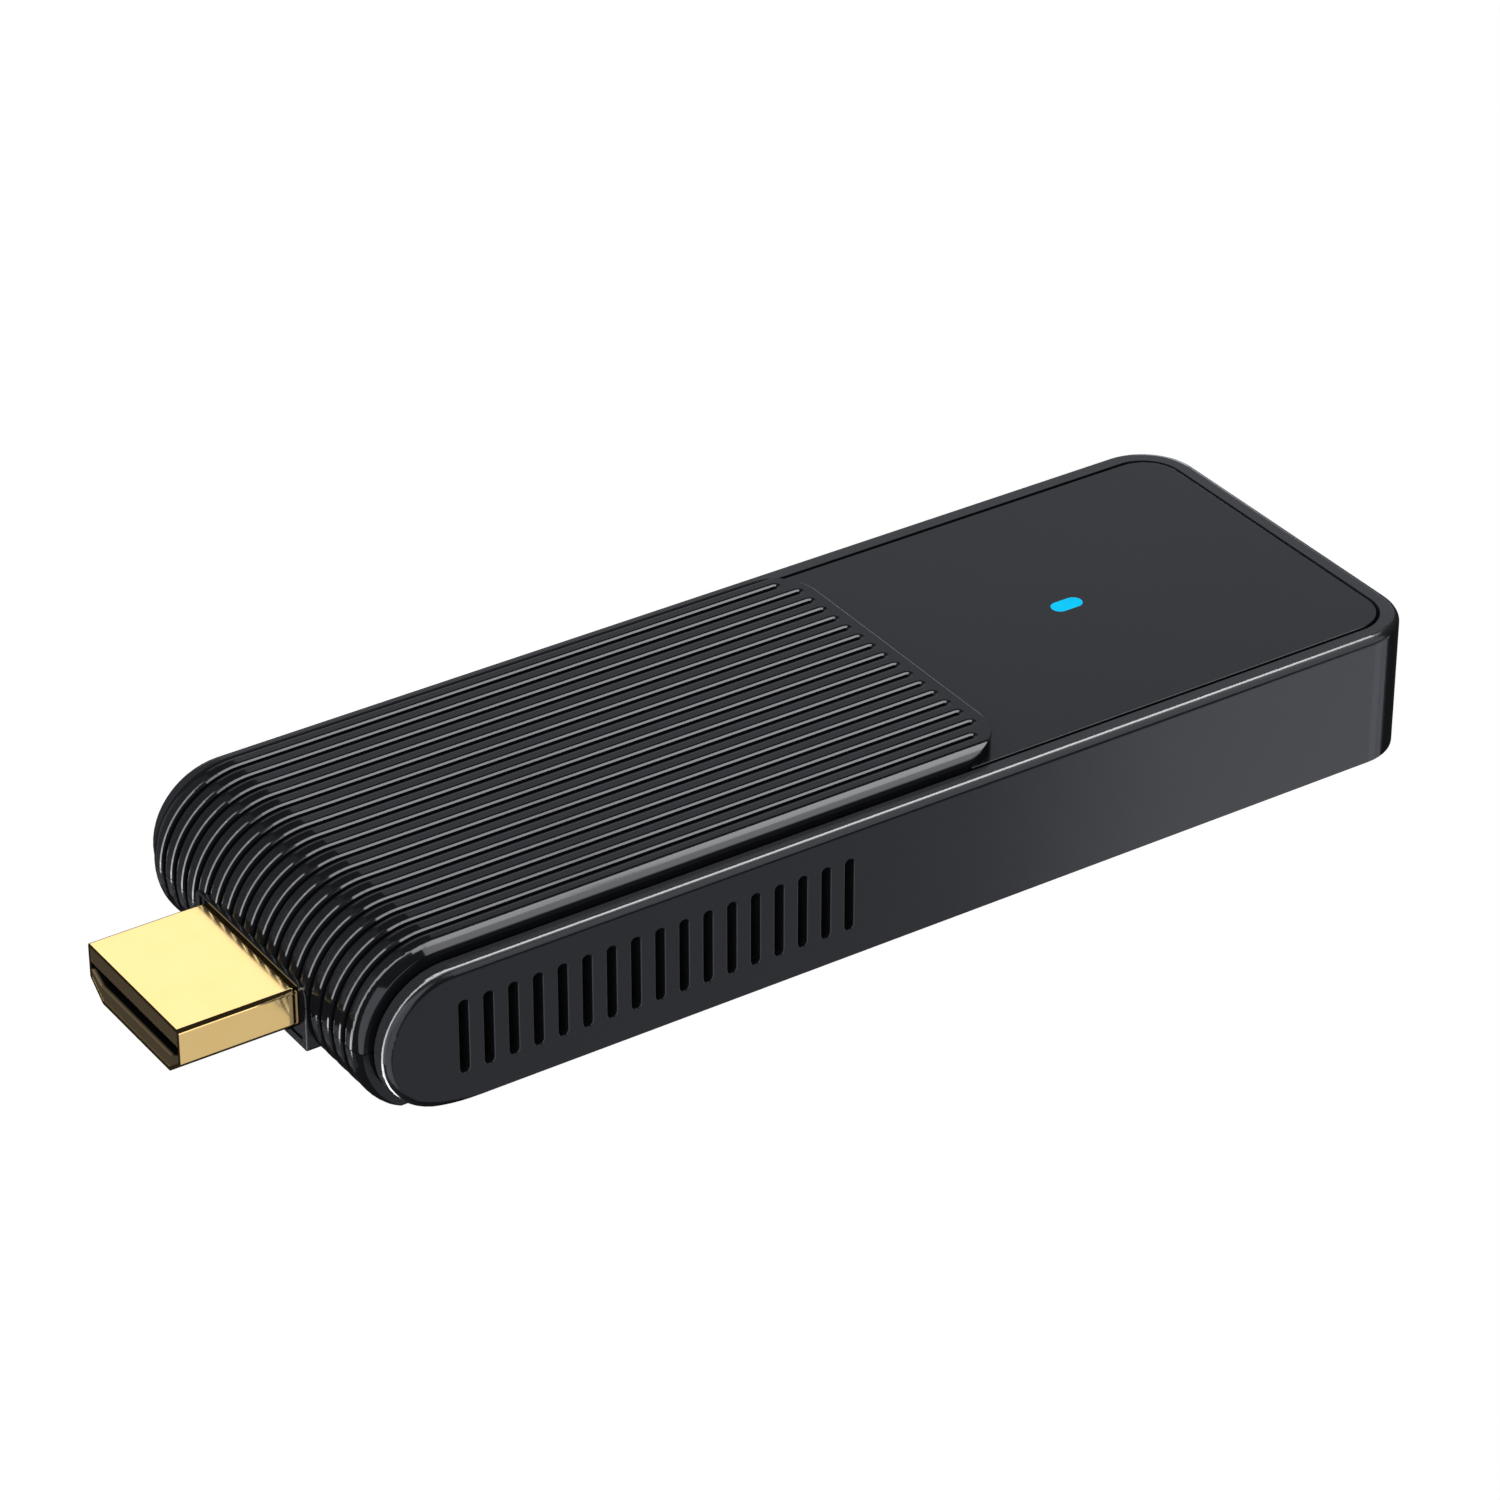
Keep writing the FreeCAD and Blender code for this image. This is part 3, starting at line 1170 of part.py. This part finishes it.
for i, (cx, cy) in enumerate(spots):
    caps.append(box("capacitor_%d" % (i + 1), "%.2f" % (cx - 0.4), "%.2f" % (cx + 0.4),
                    "%.2f" % (cy - 0.65), "%.2f" % (cy + 0.65), Z, Z + "+0.75"))
keep(group("capacitors", caps), "capacitors")

# board screws: pan heads under the board, shanks up into the bosses
screws = []
for i, (sx, sy) in enumerate((("screw_x0", "-screw_y"), ("screw_x0", "screw_y"),
                              ("screw_x1", "-screw_y"), ("screw_x1", "screw_y"))):
    head = cylinder("screw_head_%d" % (i + 1), sx, sy, "board_z0-1.1", "1.75", "1.1")
    shank = cylinder("screw_shank_%d" % (i + 1), sx, sy, "board_z0-0.2", "screw_r", "4.2")
    cross_a = box("screw_cross_a%d" % (i + 1), sx + "-0.9", sx + "+0.9", sy + "-0.2", sy + "+0.2",
                  "board_z0-1.3", "board_z0-0.6")
    cross_b = box("screw_cross_b%d" % (i + 1), sx + "-0.2", sx + "+0.2", sy + "-0.9", sy + "+0.9",
                  "board_z0-1.3", "board_z0-0.6")
    body_ = fuse("screw_blank_%d" % (i + 1), [head, shank])
    slot_ = fuse("screw_slot_%d" % (i + 1), [cross_a, cross_b])
    screws.append(cut("screw_%d" % (i + 1), body_, slot_))
keep(group("board_screws", screws), "board_screws")

# --------------------------------------------------------------- power inlet
inlet = new_body("power_socket_shell")
sk = new_sketch(inlet, "YZ_Plane", "outer", "inlet_x0")
outline(sk, [
    ("-inlet_hw", "board_z1+inlet_chamfer"),
    ("-inlet_hw+inlet_chamfer", "board_z1"),
    ("inlet_hw-inlet_chamfer", "board_z1"),
    ("inlet_hw", "board_z1+inlet_chamfer"),
    ("inlet_hw", "inlet_z1"),
    ("-inlet_hw", "inlet_z1"),
])
f = feature(inlet, "Pad", "outer", sk, "inlet_x1-inlet_x0")
v = volume(inlet)
sk = new_sketch(inlet, "YZ_Plane", "mouth", "inlet_x0+inlet_t")
outline(sk, [
    ("-inlet_hw+inlet_t", "board_z1+inlet_chamfer+0.1"),
    ("-inlet_hw+inlet_chamfer+0.1", "board_z1+inlet_t"),
    ("inlet_hw-inlet_chamfer-0.1", "board_z1+inlet_t"),
    ("inlet_hw-inlet_t", "board_z1+inlet_chamfer+0.1"),
    ("inlet_hw-inlet_t", "inlet_z1-inlet_t"),
    ("-inlet_hw+inlet_t", "inlet_z1-inlet_t"),
])
f = feature(inlet, "Pocket", "mouth", sk, "8", reverse=True)
v = must_cut(inlet, v, "inlet mouth")
keep(inlet, "power_socket_shell")
# tongue of the inlet with a block at its root
root_ = box("tongue_root", "inlet_x0+inlet_t", "inlet_x0+1.6", "-inlet_hw+inlet_t+0.05", "inlet_hw-inlet_t-0.05",
            "board_z1+inlet_chamfer+0.15", "inlet_z1-inlet_t")
blade = box("tongue_blade", "inlet_x0+1.5", "inlet_x1-0.6", "-1.9", "1.9", "6.15", "6.75")
tongue_raw = fuse("tongue_raw", [root_, blade])
leaves = []
for i in range(5):
    y = "%.2f" % (-1.3 + 0.65 * i)
    leaves.append(box("leaf_%d" % (i + 1), "inlet_x0+1.0", "inlet_x1-0.8", y + "-0.16", y + "+0.16",
                      "6.07", "6.23"))
leaf_group = group("power_socket_contacts", leaves)
keep(cut("power_socket_tongue", tongue_raw, leaf_group), "power_socket_tongue")
keep(leaf_group, "power_socket_contacts")

# -------------------------------------------------------------- reset button
button = new_body("reset_button")
sk = new_sketch(button, "XZ_Plane", "profile")
sk.AttachmentOffset = FreeCAD.Placement(V3(0, 0, -VALUE["button_y"]), FreeCAD.Rotation())
sk.setExpression("AttachmentOffset.Base.z", "-Sizes.button_y")
outline(sk, [
    ("flange_x0", "button_z"),
    ("flange_x0", "button_z+flange_r"),
    ("flange_x1", "button_z+flange_r"),
    ("flange_x1", "button_z+button_r"),
    ("button_x1-0.25", "button_z+button_r", "0.25", -1),
    ("button_x1", "button_z+button_r-0.25"),
    ("button_x1", "button_z"),
])
turn = axis_line(sk, "40", "button_z", "45", "button_z")
f = button.newObject("PartDesign::Revolution", "reset_button_turn")
f.Profile = sk
f.ReferenceAxis = turn
f.Angle = 360.0
v = volume(button)
# shallow dish in the button's face
sk = new_sketch(button, "YZ_Plane", "dish", "button_x1-0.12")
circle(sk, "button_y", "button_z", "0.75")
f = feature(button, "Pocket", "dish", sk, "1", reverse=True)
v = must_cut(button, v, "button dish")
keep(button, "reset_button")
# switch on the board: body with a slot that the stem slides in
sw_out = box("switch_block", "45.6", "49.2", "button_y-2.3", "button_y+2.3", Z, Z + "+1.9")
sw_slot = box("switch_slot", "48.2", "49.4", "button_y-0.85", "button_y+0.85", "button_z-0.5", "button_z+0.5")
keep(cut("reset_switch", sw_out, sw_slot), "reset_switch")
stem = box("reset_switch_stem", "48.55", "flange_x0", "button_y-0.8", "button_y+0.8", "button_z-0.45", "button_z+0.45")
keep(stem, "reset_switch_stem")

# ------------------------------------------------------------ check and save
doc.recompute()
bad = []
for o in doc.Objects:
    if "Invalid" in o.State or "Error" in o.State:
        bad.append("%s (%s): %s" % (o.Label, o.TypeId, o.State))
for o in PARTS:
    s = o.Shape
    if s.isNull() or not s.isValid() or not s.Solids:
        bad.append("%s has no valid solid" % o.Label)
if bad:
    raise RuntimeError("; ".join(bad))
labels = [o.Label for o in PARTS]
if len(set(labels)) != len(labels):
    raise RuntimeError("labels repeat: %s" % labels)
box_all = FreeCAD.BoundBox()
for o in PARTS:
    o.Shape.exportStep("parts/%s.step" % o.Label)
    box_all.add(o.Shape.BoundBox)
    print("%-24s solids %2d  volume %10.3f" % (o.Label, len(o.Shape.Solids), o.Shape.Volume))
print("parts", len(PARTS))
print("overall", box_all)
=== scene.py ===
import bpy
import math
from mathutils import Matrix, Vector

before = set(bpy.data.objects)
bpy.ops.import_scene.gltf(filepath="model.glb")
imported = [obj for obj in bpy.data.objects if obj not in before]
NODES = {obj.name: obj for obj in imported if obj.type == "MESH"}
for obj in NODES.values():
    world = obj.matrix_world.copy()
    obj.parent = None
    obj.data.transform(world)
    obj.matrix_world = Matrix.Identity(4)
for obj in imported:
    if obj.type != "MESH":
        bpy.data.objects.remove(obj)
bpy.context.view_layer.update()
MM = 0.001
scene = bpy.context.scene

# ------------------------------------------------------------------ camera
az, el = math.radians(-33.506), math.radians(31.969)
back = Vector((math.sin(az) * math.cos(el), -math.cos(az) * math.cos(el), math.sin(el)))
right = Vector((0, 0, 1)).cross(back).normalized()
up = back.cross(right)
cam_data = bpy.data.cameras.new("camera")
cam_data.lens = 137.89
cam_data.sensor_width = 36.0
cam_data.clip_start = 0.01
cam = bpy.data.objects.new("camera", cam_data)
scene.collection.objects.link(cam)
rot = Matrix((right, up, back)).transposed().to_4x4()
cam.matrix_world = Matrix.Translation(Vector((-206.561, -313.266, 242.747)) * MM) @ rot
scene.camera = cam

scene.view_settings.view_transform = "Standard"
scene.view_settings.look = "None"
scene.view_settings.exposure = 0.0
scene.view_settings.gamma = 1.0


# --------------------------------------------------------------- materials
class Mat:
    """Small helper that builds a node material round one Principled shader."""

    def __init__(self, name):
        self.m = bpy.data.materials.new(name)
        self.m.use_nodes = True
        self.t = self.m.node_tree
        self.bsdf = self.t.nodes["Principled BSDF"]
        self.out = self.t.nodes["Material Output"]
        self.coord = self.t.nodes.new("ShaderNodeTexCoord")

    def set(self, **kw):
        for k, v in kw.items():
            s = self.bsdf.inputs[k.replace("_", " ")]
            s.default_value = (*v, 1.0) if isinstance(v, tuple) and len(v) == 3 else v
        return self

    def node(self, kind, **props):
        n = self.t.nodes.new(kind)
        for k, v in props.items():
            setattr(n, k, v)
        return n

    def link(self, a, b):
        self.t.links.new(a, b)

    def scaled(self, sx, sy=None, sz=None):
        """Object coordinates times a scale, so 1.0 there is 1 m divided by it."""
        mp = self.node("ShaderNodeMapping")
        mp.inputs["Scale"].default_value = (sx, sy or sx, sz or sx)
        self.link(self.coord.outputs["Object"], mp.inputs["Vector"])
        return mp.outputs["Vector"]

    def noise(self, vec, scale, detail=3.0, rough=0.55, distortion=0.0):
        n = self.node("ShaderNodeTexNoise")
        self.link(vec, n.inputs["Vector"])
        n.inputs["Scale"].default_value = scale
        n.inputs["Detail"].default_value = detail
        n.inputs["Roughness"].default_value = rough
        n.inputs["Distortion"].default_value = distortion
        return n.outputs["Fac"]

    def voronoi(self, vec, scale, feature="F1"):
        n = self.node("ShaderNodeTexVoronoi", feature=feature)
        self.link(vec, n.inputs["Vector"])
        n.inputs["Scale"].default_value = scale
        return n.outputs["Distance"]

    def math(self, op, a, b=None, clamp=False):
        n = self.node("ShaderNodeMath", operation=op, use_clamp=clamp)
        for i, x in enumerate((a, b)):
            if x is None:
                continue
            if isinstance(x, (int, float)):
                n.inputs[i].default_value = x
            else:
                self.link(x, n.inputs[i])
        return n.outputs[0]

    def span(self, value, lo, hi, out_lo, out_hi):
        n = self.node("ShaderNodeMapRange")
        n.clamp = True
        self.link(value, n.inputs["Value"])
        for k, v in (("From Min", lo), ("From Max", hi), ("To Min", out_lo), ("To Max", out_hi)):
            n.inputs[k].default_value = v
        return n.outputs["Result"]

    def mix(self, fac, a, b):
        n = self.node("ShaderNodeMix", data_type="RGBA")
        if isinstance(fac, (int, float)):
            n.inputs["Factor"].default_value = fac
        else:
            self.link(fac, n.inputs["Factor"])
        for key, x in (("A", a), ("B", b)):
            s = [i for i in n.inputs if i.name == key and i.type == "RGBA"][0]
            if isinstance(x, tuple):
                s.default_value = (*x, 1.0)
            else:
                self.link(x, s)
        return [o for o in n.outputs if o.type == "RGBA"][0]

    def color(self, socket):
        self.link(socket, self.bsdf.inputs["Base Color"])

    def roughness(self, socket):
        self.link(socket, self.bsdf.inputs["Roughness"])

    def bump(self, height, strength, distance):
        n = self.node("ShaderNodeBump")
        n.inputs["Strength"].default_value = strength
        n.inputs["Distance"].default_value = distance
        self.link(height, n.inputs["Height"])
        self.link(n.outputs["Normal"], self.bsdf.inputs["Normal"])
        return n

    def edge_wear(self):
        """Higher on worn convex edges: pointiness of the surface."""
        g = self.node("ShaderNodeNewGeometry")
        return g.outputs["Pointiness"]


def plastic(name, dark, light, rough, grain_mm, grain_h, spread=0.04, spec=0.5, wear=0.0):
    """Moulded plastic: fine erosion grain, soft tone clouds, slightly polished patches."""
    m = Mat(name)
    v = m.scaled(1000.0)  # millimetres
    grain = m.noise(v, 1.0 / grain_mm, 2.0, 0.6)
    cell = m.voronoi(v, 0.8 / grain_mm)
    cloud = m.noise(v, 0.06, 4.0, 0.6)
    speck = m.span(grain, 0.35, 0.7, 0.0, 1.0)
    tone = m.math("ADD", m.math("MULTIPLY", speck, 0.45), m.math("MULTIPLY", cloud, 0.55))
    m.color(m.mix(tone, dark, light))
    r = m.math("ADD", m.span(cloud, 0.3, 0.7, rough - spread, rough + spread),
               m.span(grain, 0.3, 0.7, -0.03, 0.03))
    m.roughness(r)
    height = m.math("ADD", m.math("MULTIPLY", grain, 0.6), m.math("MULTIPLY", cell, 0.4))
    m.bump(height, 1.0, grain_h * MM)
    m.set(Specular_IOR_Level=spec)
    return m.m


def metal(name, a, b, rough, streak_mm=0.4, bump_h=0.002, spread=0.05):
    """Plated or rolled metal: faint rolling streaks along X, cloudy tarnish."""
    m = Mat(name)
    v = m.scaled(1000.0 * 0.06, 1000.0, 1000.0)
    streak = m.noise(v, 1.0 / streak_mm, 3.0, 0.6)
    v2 = m.scaled(1000.0)
    cloud = m.noise(v2, 0.25, 4.0, 0.55)
    m.color(m.mix(m.span(cloud, 0.35, 0.7, 0.0, 1.0), a, b))
    m.roughness(m.math("ADD", m.span(streak, 0.3, 0.7, rough - spread, rough + spread),
                       m.span(cloud, 0.3, 0.7, -0.02, 0.02)))
    m.bump(streak, 0.5, bump_h * MM)
    m.set(Metallic=1.0)
    return m.m


def plug_core(front_x):
    """Moulded core of the plug: fine grain, with painted shade that darkens it towards black with depth inside
    the mouth.
    """
    m = Mat("insulator_plastic")
    v = m.scaled(1000.0)
    grain = m.noise(v, 14.0, 3.0, 0.6)
    cloud = m.noise(v, 0.5, 3.0, 0.6)
    sep = m.node("ShaderNodeSeparateXYZ")
    m.link(m.coord.outputs["Object"], sep.inputs[0])
    # painted shade: 0 at the front face, 1 deep in the mouth, blending the colour to near black
    mouth_shade_depth = m.span(sep.outputs["X"], front_x + 0.00006, front_x + 0.00035, 0.0, 1.0)
    tone = m.math("ADD", m.math("MULTIPLY", grain, 0.6), m.math("MULTIPLY", cloud, 0.4))
    face = m.mix(tone, (0.060, 0.045, 0.025), (0.085, 0.063, 0.036))
    painted_mouth_shade = m.mix(tone, (0.0008, 0.0008, 0.0009), (0.0016, 0.0016, 0.0017))
    m.color(m.mix(mouth_shade_depth, face, painted_mouth_shade))
    m.roughness(m.span(grain, 0.3, 0.7, 0.38, 0.50))
    m.bump(grain, 1.0, 0.0015 * MM)
    # painted shade: the reflection also fades out with depth inside the mouth
    m.link(m.span(mouth_shade_depth, 0.0, 1.0, 0.35, 0.02), m.bsdf.inputs["Specular IOR Level"])
    return m.m


M = {}
M["frame"] = plastic("frame_plastic_satin", (0.0036, 0.0037, 0.0040), (0.0054, 0.0055, 0.0060), 0.155, 0.12, 0.0028, 0.02, 0.25)
M["cover"] = plastic("cover_plastic_satin", (0.0028, 0.0029, 0.0032), (0.0042, 0.0043, 0.0047), 0.085, 0.09, 0.0003, 0.015, 0.25)
M["panel"] = plastic("panel_plastic_smooth", (0.0034, 0.0035, 0.0040), (0.0048, 0.0049, 0.0056), 0.13, 0.07, 0.0003, 0.02, 0.25)
M["base"] = plastic("base_plastic_satin", (0.0028, 0.0029, 0.0032), (0.0042, 0.0043, 0.0047), 0.10, 0.09, 0.0004, 0.015, 0.25)
M["bezel"] = plastic("bezel_plastic_gloss", (0.003, 0.003, 0.003), (0.005, 0.005, 0.005), 0.07, 0.08, 0.0002, 0.015, 0.25)
M["button"] = plastic("button_plastic_satin", (0.008, 0.008, 0.0085), (0.012, 0.012, 0.0125), 0.38, 0.08, 0.0015)
M["insulator"] = plug_core(min(c[0] for c in NODES["hdmi_insulator"].bound_box))
M["black"] = plastic("black_moulding", (0.008, 0.008, 0.008), (0.014, 0.014, 0.014), 0.45, 0.06, 0.0015)
M["stem"] = plastic("natural_moulding", (0.50, 0.47, 0.40), (0.60, 0.57, 0.50), 0.40, 0.06, 0.001)
M["chip"] = plastic("moulded_epoxy", (0.010, 0.010, 0.011), (0.022, 0.022, 0.023), 0.55, 0.05, 0.002)
M["ferrite"] = plastic("ferrite_grey", (0.030, 0.030, 0.031), (0.055, 0.055, 0.055), 0.60, 0.05, 0.003)
M["pad"] = plastic("thermal_pad_grey", (0.26, 0.30, 0.34), (0.36, 0.41, 0.46), 0.80, 0.12, 0.004)
M["tape"] = plastic("tape_black", (0.010, 0.010, 0.010), (0.020, 0.020, 0.020), 0.85, 0.12, 0.004)
M["ceramic"] = plastic("ceramic_tan", (0.34, 0.23, 0.13), (0.44, 0.31, 0.19), 0.45, 0.08, 0.001)
M["gold"] = metal("plug_gold_polished", (1.00, 0.70, 0.29), (1.00, 0.73, 0.32), 0.12, 0.5, 0.0001, 0.012)
M["pins"] = metal("contact_gold_flash", (0.95, 0.69, 0.28), (1.00, 0.76, 0.36), 0.22, 0.2, 0.001)
M["steel"] = metal("socket_steel_tinned", (0.55, 0.55, 0.54), (0.66, 0.66, 0.64), 0.26, 0.3, 0.0015)
M["can"] = metal("can_steel_tinned", (0.58, 0.58, 0.56), (0.68, 0.68, 0.66), 0.30, 0.4, 0.0015)
M["sink"] = metal("sink_aluminium_plain", (0.62, 0.62, 0.63), (0.74, 0.74, 0.75), 0.34, 0.3, 0.002)
M["bronze"] = metal("antenna_bronze_sheet", (0.72, 0.46, 0.24), (0.82, 0.55, 0.30), 0.28, 0.3, 0.001)
M["screw"] = metal("screw_zinc_black", (0.16, 0.16, 0.17), (0.24, 0.24, 0.25), 0.30, 0.2, 0.001)


def light_window():
    m = Mat("light_pipe_cyan")
    v = m.scaled(1000.0)
    cloud = m.noise(v, 0.9, 3.0, 0.5)
    fine = m.noise(v, 9.0, 2.0, 0.5)
    m.color(m.mix(m.span(cloud, 0.3, 0.7, 0.0, 1.0), (0.0, 0.020, 0.035), (0.0, 0.026, 0.045)))
    m.roughness(m.span(fine, 0.3, 0.7, 0.20, 0.30))
    m.link(m.mix(m.span(cloud, 0.3, 0.7, 0.0, 1.0), (0.0006, 0.50, 0.83), (0.0010, 0.55, 0.88)),
           m.bsdf.inputs["Emission Color"])
    m.set(Emission_Strength=1.0, Specular_IOR_Level=0.02)
    m.bump(fine, 0.4, 0.001 * MM)
    return m.m


def board_laminate():
    """Green solder mask over copper: fine routed tracks as a brick pattern, with darker cloudy patches."""
    m = Mat("board_laminate_mask")
    v = m.scaled(1000.0)
    br = m.node("ShaderNodeTexBrick")
    m.link(v, br.inputs["Vector"])
    br.inputs["Scale"].default_value = 0.9
    br.inputs["Mortar Size"].default_value = 0.03
    br.inputs["Color1"].default_value = (0.012, 0.060, 0.032, 1)
    br.inputs["Color2"].default_value = (0.014, 0.070, 0.038, 1)
    br.inputs["Mortar"].default_value = (0.030, 0.120, 0.065, 1)
    cloud = m.noise(v, 0.5, 3.0, 0.6)
    m.color(m.mix(m.span(cloud, 0.3, 0.8, 0.0, 0.35), br.outputs["Color"], (0.010, 0.045, 0.028)))
    m.roughness(m.span(cloud, 0.3, 0.7, 0.28, 0.40))
    m.bump(br.outputs["Fac"], 0.5, 0.01 * MM)
    return m.m


M["window"] = light_window()
M["board"] = board_laminate()

ASSIGN = {
    "side_frame": "frame", "ribbed_cover": "cover", "top_panel": "panel", "bottom_cover": "base",
    "panel_tape": "tape", "led_light_pipe": "window", "plug_bezel": "bezel", "hdmi_plug_shell": "gold",
    "hdmi_insulator": "insulator", "hdmi_contacts": "pins", "main_board": "board", "system_chip": "chip",
    "memory_chips": "chip", "flash_chip": "chip", "power_chip": "chip", "shield_fence": "can",
    "shield_lid": "can", "chip_pad": "pad", "lid_pad": "pad", "wireless_module": "can", "heat_sink": "sink",
    "antennas": "bronze", "status_led": "window", "crystals": "can", "inductors": "ferrite",
    "capacitors": "ceramic", "board_screws": "screw", "power_socket_shell": "steel",
    "power_socket_tongue": "black", "power_socket_contacts": "pins", "reset_button": "button",
    "reset_switch": "black", "reset_switch_stem": "stem",
}
for node, key in ASSIGN.items():
    o = NODES[node]
    o.data.materials.clear()
    o.data.materials.append(M[key])


# ------------------------------------------------------------------- studio
def floor_material():
    m = bpy.data.materials.new("studio_floor")
    m.use_nodes = True
    t = m.node_tree
    b = t.nodes["Principled BSDF"]
    b.inputs["Base Color"].default_value = (0.02, 0.02, 0.02, 1)
    b.inputs["Roughness"].default_value = 1.0
    b.inputs["Specular IOR Level"].default_value = 0.0
    b.inputs["Emission Color"].default_value = (1, 1, 1, 1)
    b.inputs["Emission Strength"].default_value = 1.0
    return m


bpy.ops.mesh.primitive_plane_add(size=6.0, location=(0, 0, -0.00005))
floor = bpy.context.object
floor.name = "studio_floor"
floor.data.materials.append(floor_material())
floor.visible_glossy = False
floor.visible_diffuse = False
floor.visible_shadow = False

world = bpy.data.worlds.new("studio_world")
scene.world = world
world.use_nodes = True
wt = world.node_tree
bg = wt.nodes["Background"]
bg.inputs["Color"].default_value = (1, 1, 1, 1)
bg.inputs["Strength"].default_value = 0.02
bg_cam = wt.nodes.new("ShaderNodeBackground")
bg_cam.inputs["Color"].default_value = (1, 1, 1, 1)
bg_cam.inputs["Strength"].default_value = 1.0
lp = wt.nodes.new("ShaderNodeLightPath")
mixw = wt.nodes.new("ShaderNodeMixShader")
wt.links.new(lp.outputs["Is Camera Ray"], mixw.inputs[0])
wt.links.new(bg.outputs[0], mixw.inputs[1])
wt.links.new(bg_cam.outputs[0], mixw.inputs[2])
wt.links.new(mixw.outputs[0], wt.nodes["World Output"].inputs["Surface"])


def lit_group(name, nodes):
    """Pieces that a light reaches when it is linked to them alone."""
    c = bpy.data.collections.new(name)
    for node in nodes:
        c.objects.link(NODES[node])
    return c


PLUG = {"hdmi_plug_shell", "hdmi_insulator", "hdmi_contacts"}
plug_only = lit_group("lit_plug", ["hdmi_plug_shell"])
mouth_only = lit_group("lit_mouth", ["hdmi_insulator"])
frame_only = lit_group("lit_frame", ["side_frame"])
body_only = lit_group("lit_body", sorted(set(NODES) - PLUG))
rest_only = lit_group("lit_rest", sorted(set(NODES) - PLUG - {"side_frame"}))
COOL = (0.94, 0.97, 1.08)
NEUTRAL = (0.99, 1.0, 1.02)


def place_light(name, centre, along, across, width, height, radiance, only=None, color=COOL):
    """Rectangular soft light given as the radiance that it shows; it faces the
    side that along x across points away from."""
    light = bpy.data.lights.new(name, "AREA")
    light.shape = "RECTANGLE"
    light.size, light.size_y = width, height
    light.energy = radiance * math.pi * width * height
    light.color = color
    o = bpy.data.objects.new(name, light)
    scene.collection.objects.link(o)
    x = Vector(along).normalized()
    z = x.cross(Vector(across)).normalized()
    y = z.cross(x)
    o.matrix_world = Matrix.Translation(Vector(centre)) @ Matrix((x, y, z)).transposed().to_4x4()
    if only is not None:
        o.light_linking.receiver_collection = only
    return o


def card(name, direction, distance, width, height, radiance, only=None, target=(0, 0, 0.006), color=COOL):
    """Soft light in the given direction, its width level."""
    d = Vector(direction).normalized()
    x = Vector((0, 0, 1)).cross(d)
    if x.length < 1e-3:
        x = Vector((1, 0, 0))
    x.normalize()
    return place_light(name, Vector(target) + d * distance, x, d.cross(x), width, height, radiance, only, color)


def arch(name, phi0, phi1, y0, y1, distance, radiance, only=None):
    """Piece of a strip light that spans the object from right to left."""
    phi, ry = math.radians(0.5 * (phi0 + phi1)), 0.5 * (y0 + y1)
    c = math.sqrt(1.0 - ry * ry)
    d = Vector((math.cos(phi) * c, ry, math.sin(phi) * c))
    along = Vector((math.sin(phi), 0.0, -math.cos(phi)))
    width = 2.0 * distance * math.tan(math.radians(abs(phi1 - phi0)) / 2.0) * c
    height = distance * (math.asin(y1) - math.asin(y0))
    return place_light(name, Vector((0, 0, 0.006)) + d * distance, along, d.cross(along), width, height,
                       radiance, only, NEUTRAL)


WHITE = (1.0, 1.0, 1.0)
card("back_body", (0.504, 0.763, 0.403), 0.9, 1.0, 0.374, 0.60, body_only)
card("back_plug", (0.40, 0.74, 0.55), 0.9, 0.8, 0.50, 1.28, plug_only, color=WHITE)
card("back_left_plug", (-0.467, 0.707, 0.535), 0.9, 0.5, 0.5, 1.3, plug_only, color=WHITE)
card("front_plug", (0.467, -0.87, -0.13), 0.9, 0.7, 0.40, 1.4, plug_only, color=WHITE)
card("left_front_plug", (-0.50, -0.70, 0.50), 0.9, 0.9, 0.8, 1.1, plug_only, color=WHITE)
card("low_plug", (0.45, -0.70, -0.56), 0.9, 0.6, 0.42, 0.62, plug_only, color=WHITE)
card("front_mouth", (-0.35, -0.70, 0.62), 0.9, 0.5, 0.5, 30.0, mouth_only, color=WHITE)
card("back_low", (0.68, 0.707, 0.16), 0.9, 0.16, 0.22, 3.0, body_only)
card("front_body", (0.50, -0.62, 0.42), 0.9, 0.6, 0.9, 2.2, body_only)
card("left_high", (-0.45, -0.72, 0.40), 0.9, 0.9, 0.8, 2.6, body_only)
card("left_low", (-0.40, -0.80, -0.45), 0.9, 0.9, 0.9, 2.4, body_only)
card("left_edge", (-0.90, -0.22, 0.05), 0.9, 0.6, 1.4, 2.6, body_only)
card("back_left_body", (-0.55, 0.68, 0.05), 0.9, 1.1, 2.4, 0.22, rest_only)
card("front_low", (0.50, -0.70, -0.55), 0.9, 0.6, 0.42, 0.78, body_only)
card("right_low", (0.667, -0.589, -0.456), 0.24, 0.16, 0.16, 1.35, body_only, (0.070, -0.0176, 0.006))
steps = 12
for i in range(steps):
    phi0 = 50.0 + (228.0 - 50.0) * i / steps
    phi1 = 50.0 + (228.0 - 50.0) * (i + 1) / steps
    k = min(max((0.5 * (phi0 + phi1) - 84.0) / 60.0, 0.0), 1.0)
    arch("arch_rest_%d" % i, phi0, phi1, 0.10 + 0.32 * k, 0.44 + 0.24 * k, 0.9, 10.5 - 2.0 * k, rest_only)
    arch("arch_frame_%d" % i, phi0, phi1, 0.05 + 0.06 * k, 0.45 + 0.01 * k, 0.9, 23.5 - 3.0 * k, frame_only)
for i in range(2):
    arch("arch_foot_%d" % i, 228.0 + 17.0 * i, 245.0 + 17.0 * i, 0.16 + 0.08 * i, 0.50 + 0.06 * i, 0.9, 17.0, frame_only)
arch("arch_soft", 50, 84, -0.22, 0.10, 0.9, 5.5, rest_only)
arch("arch_soft_frame", 46, 90, -0.32, 0.05, 0.9, 2.4, frame_only)
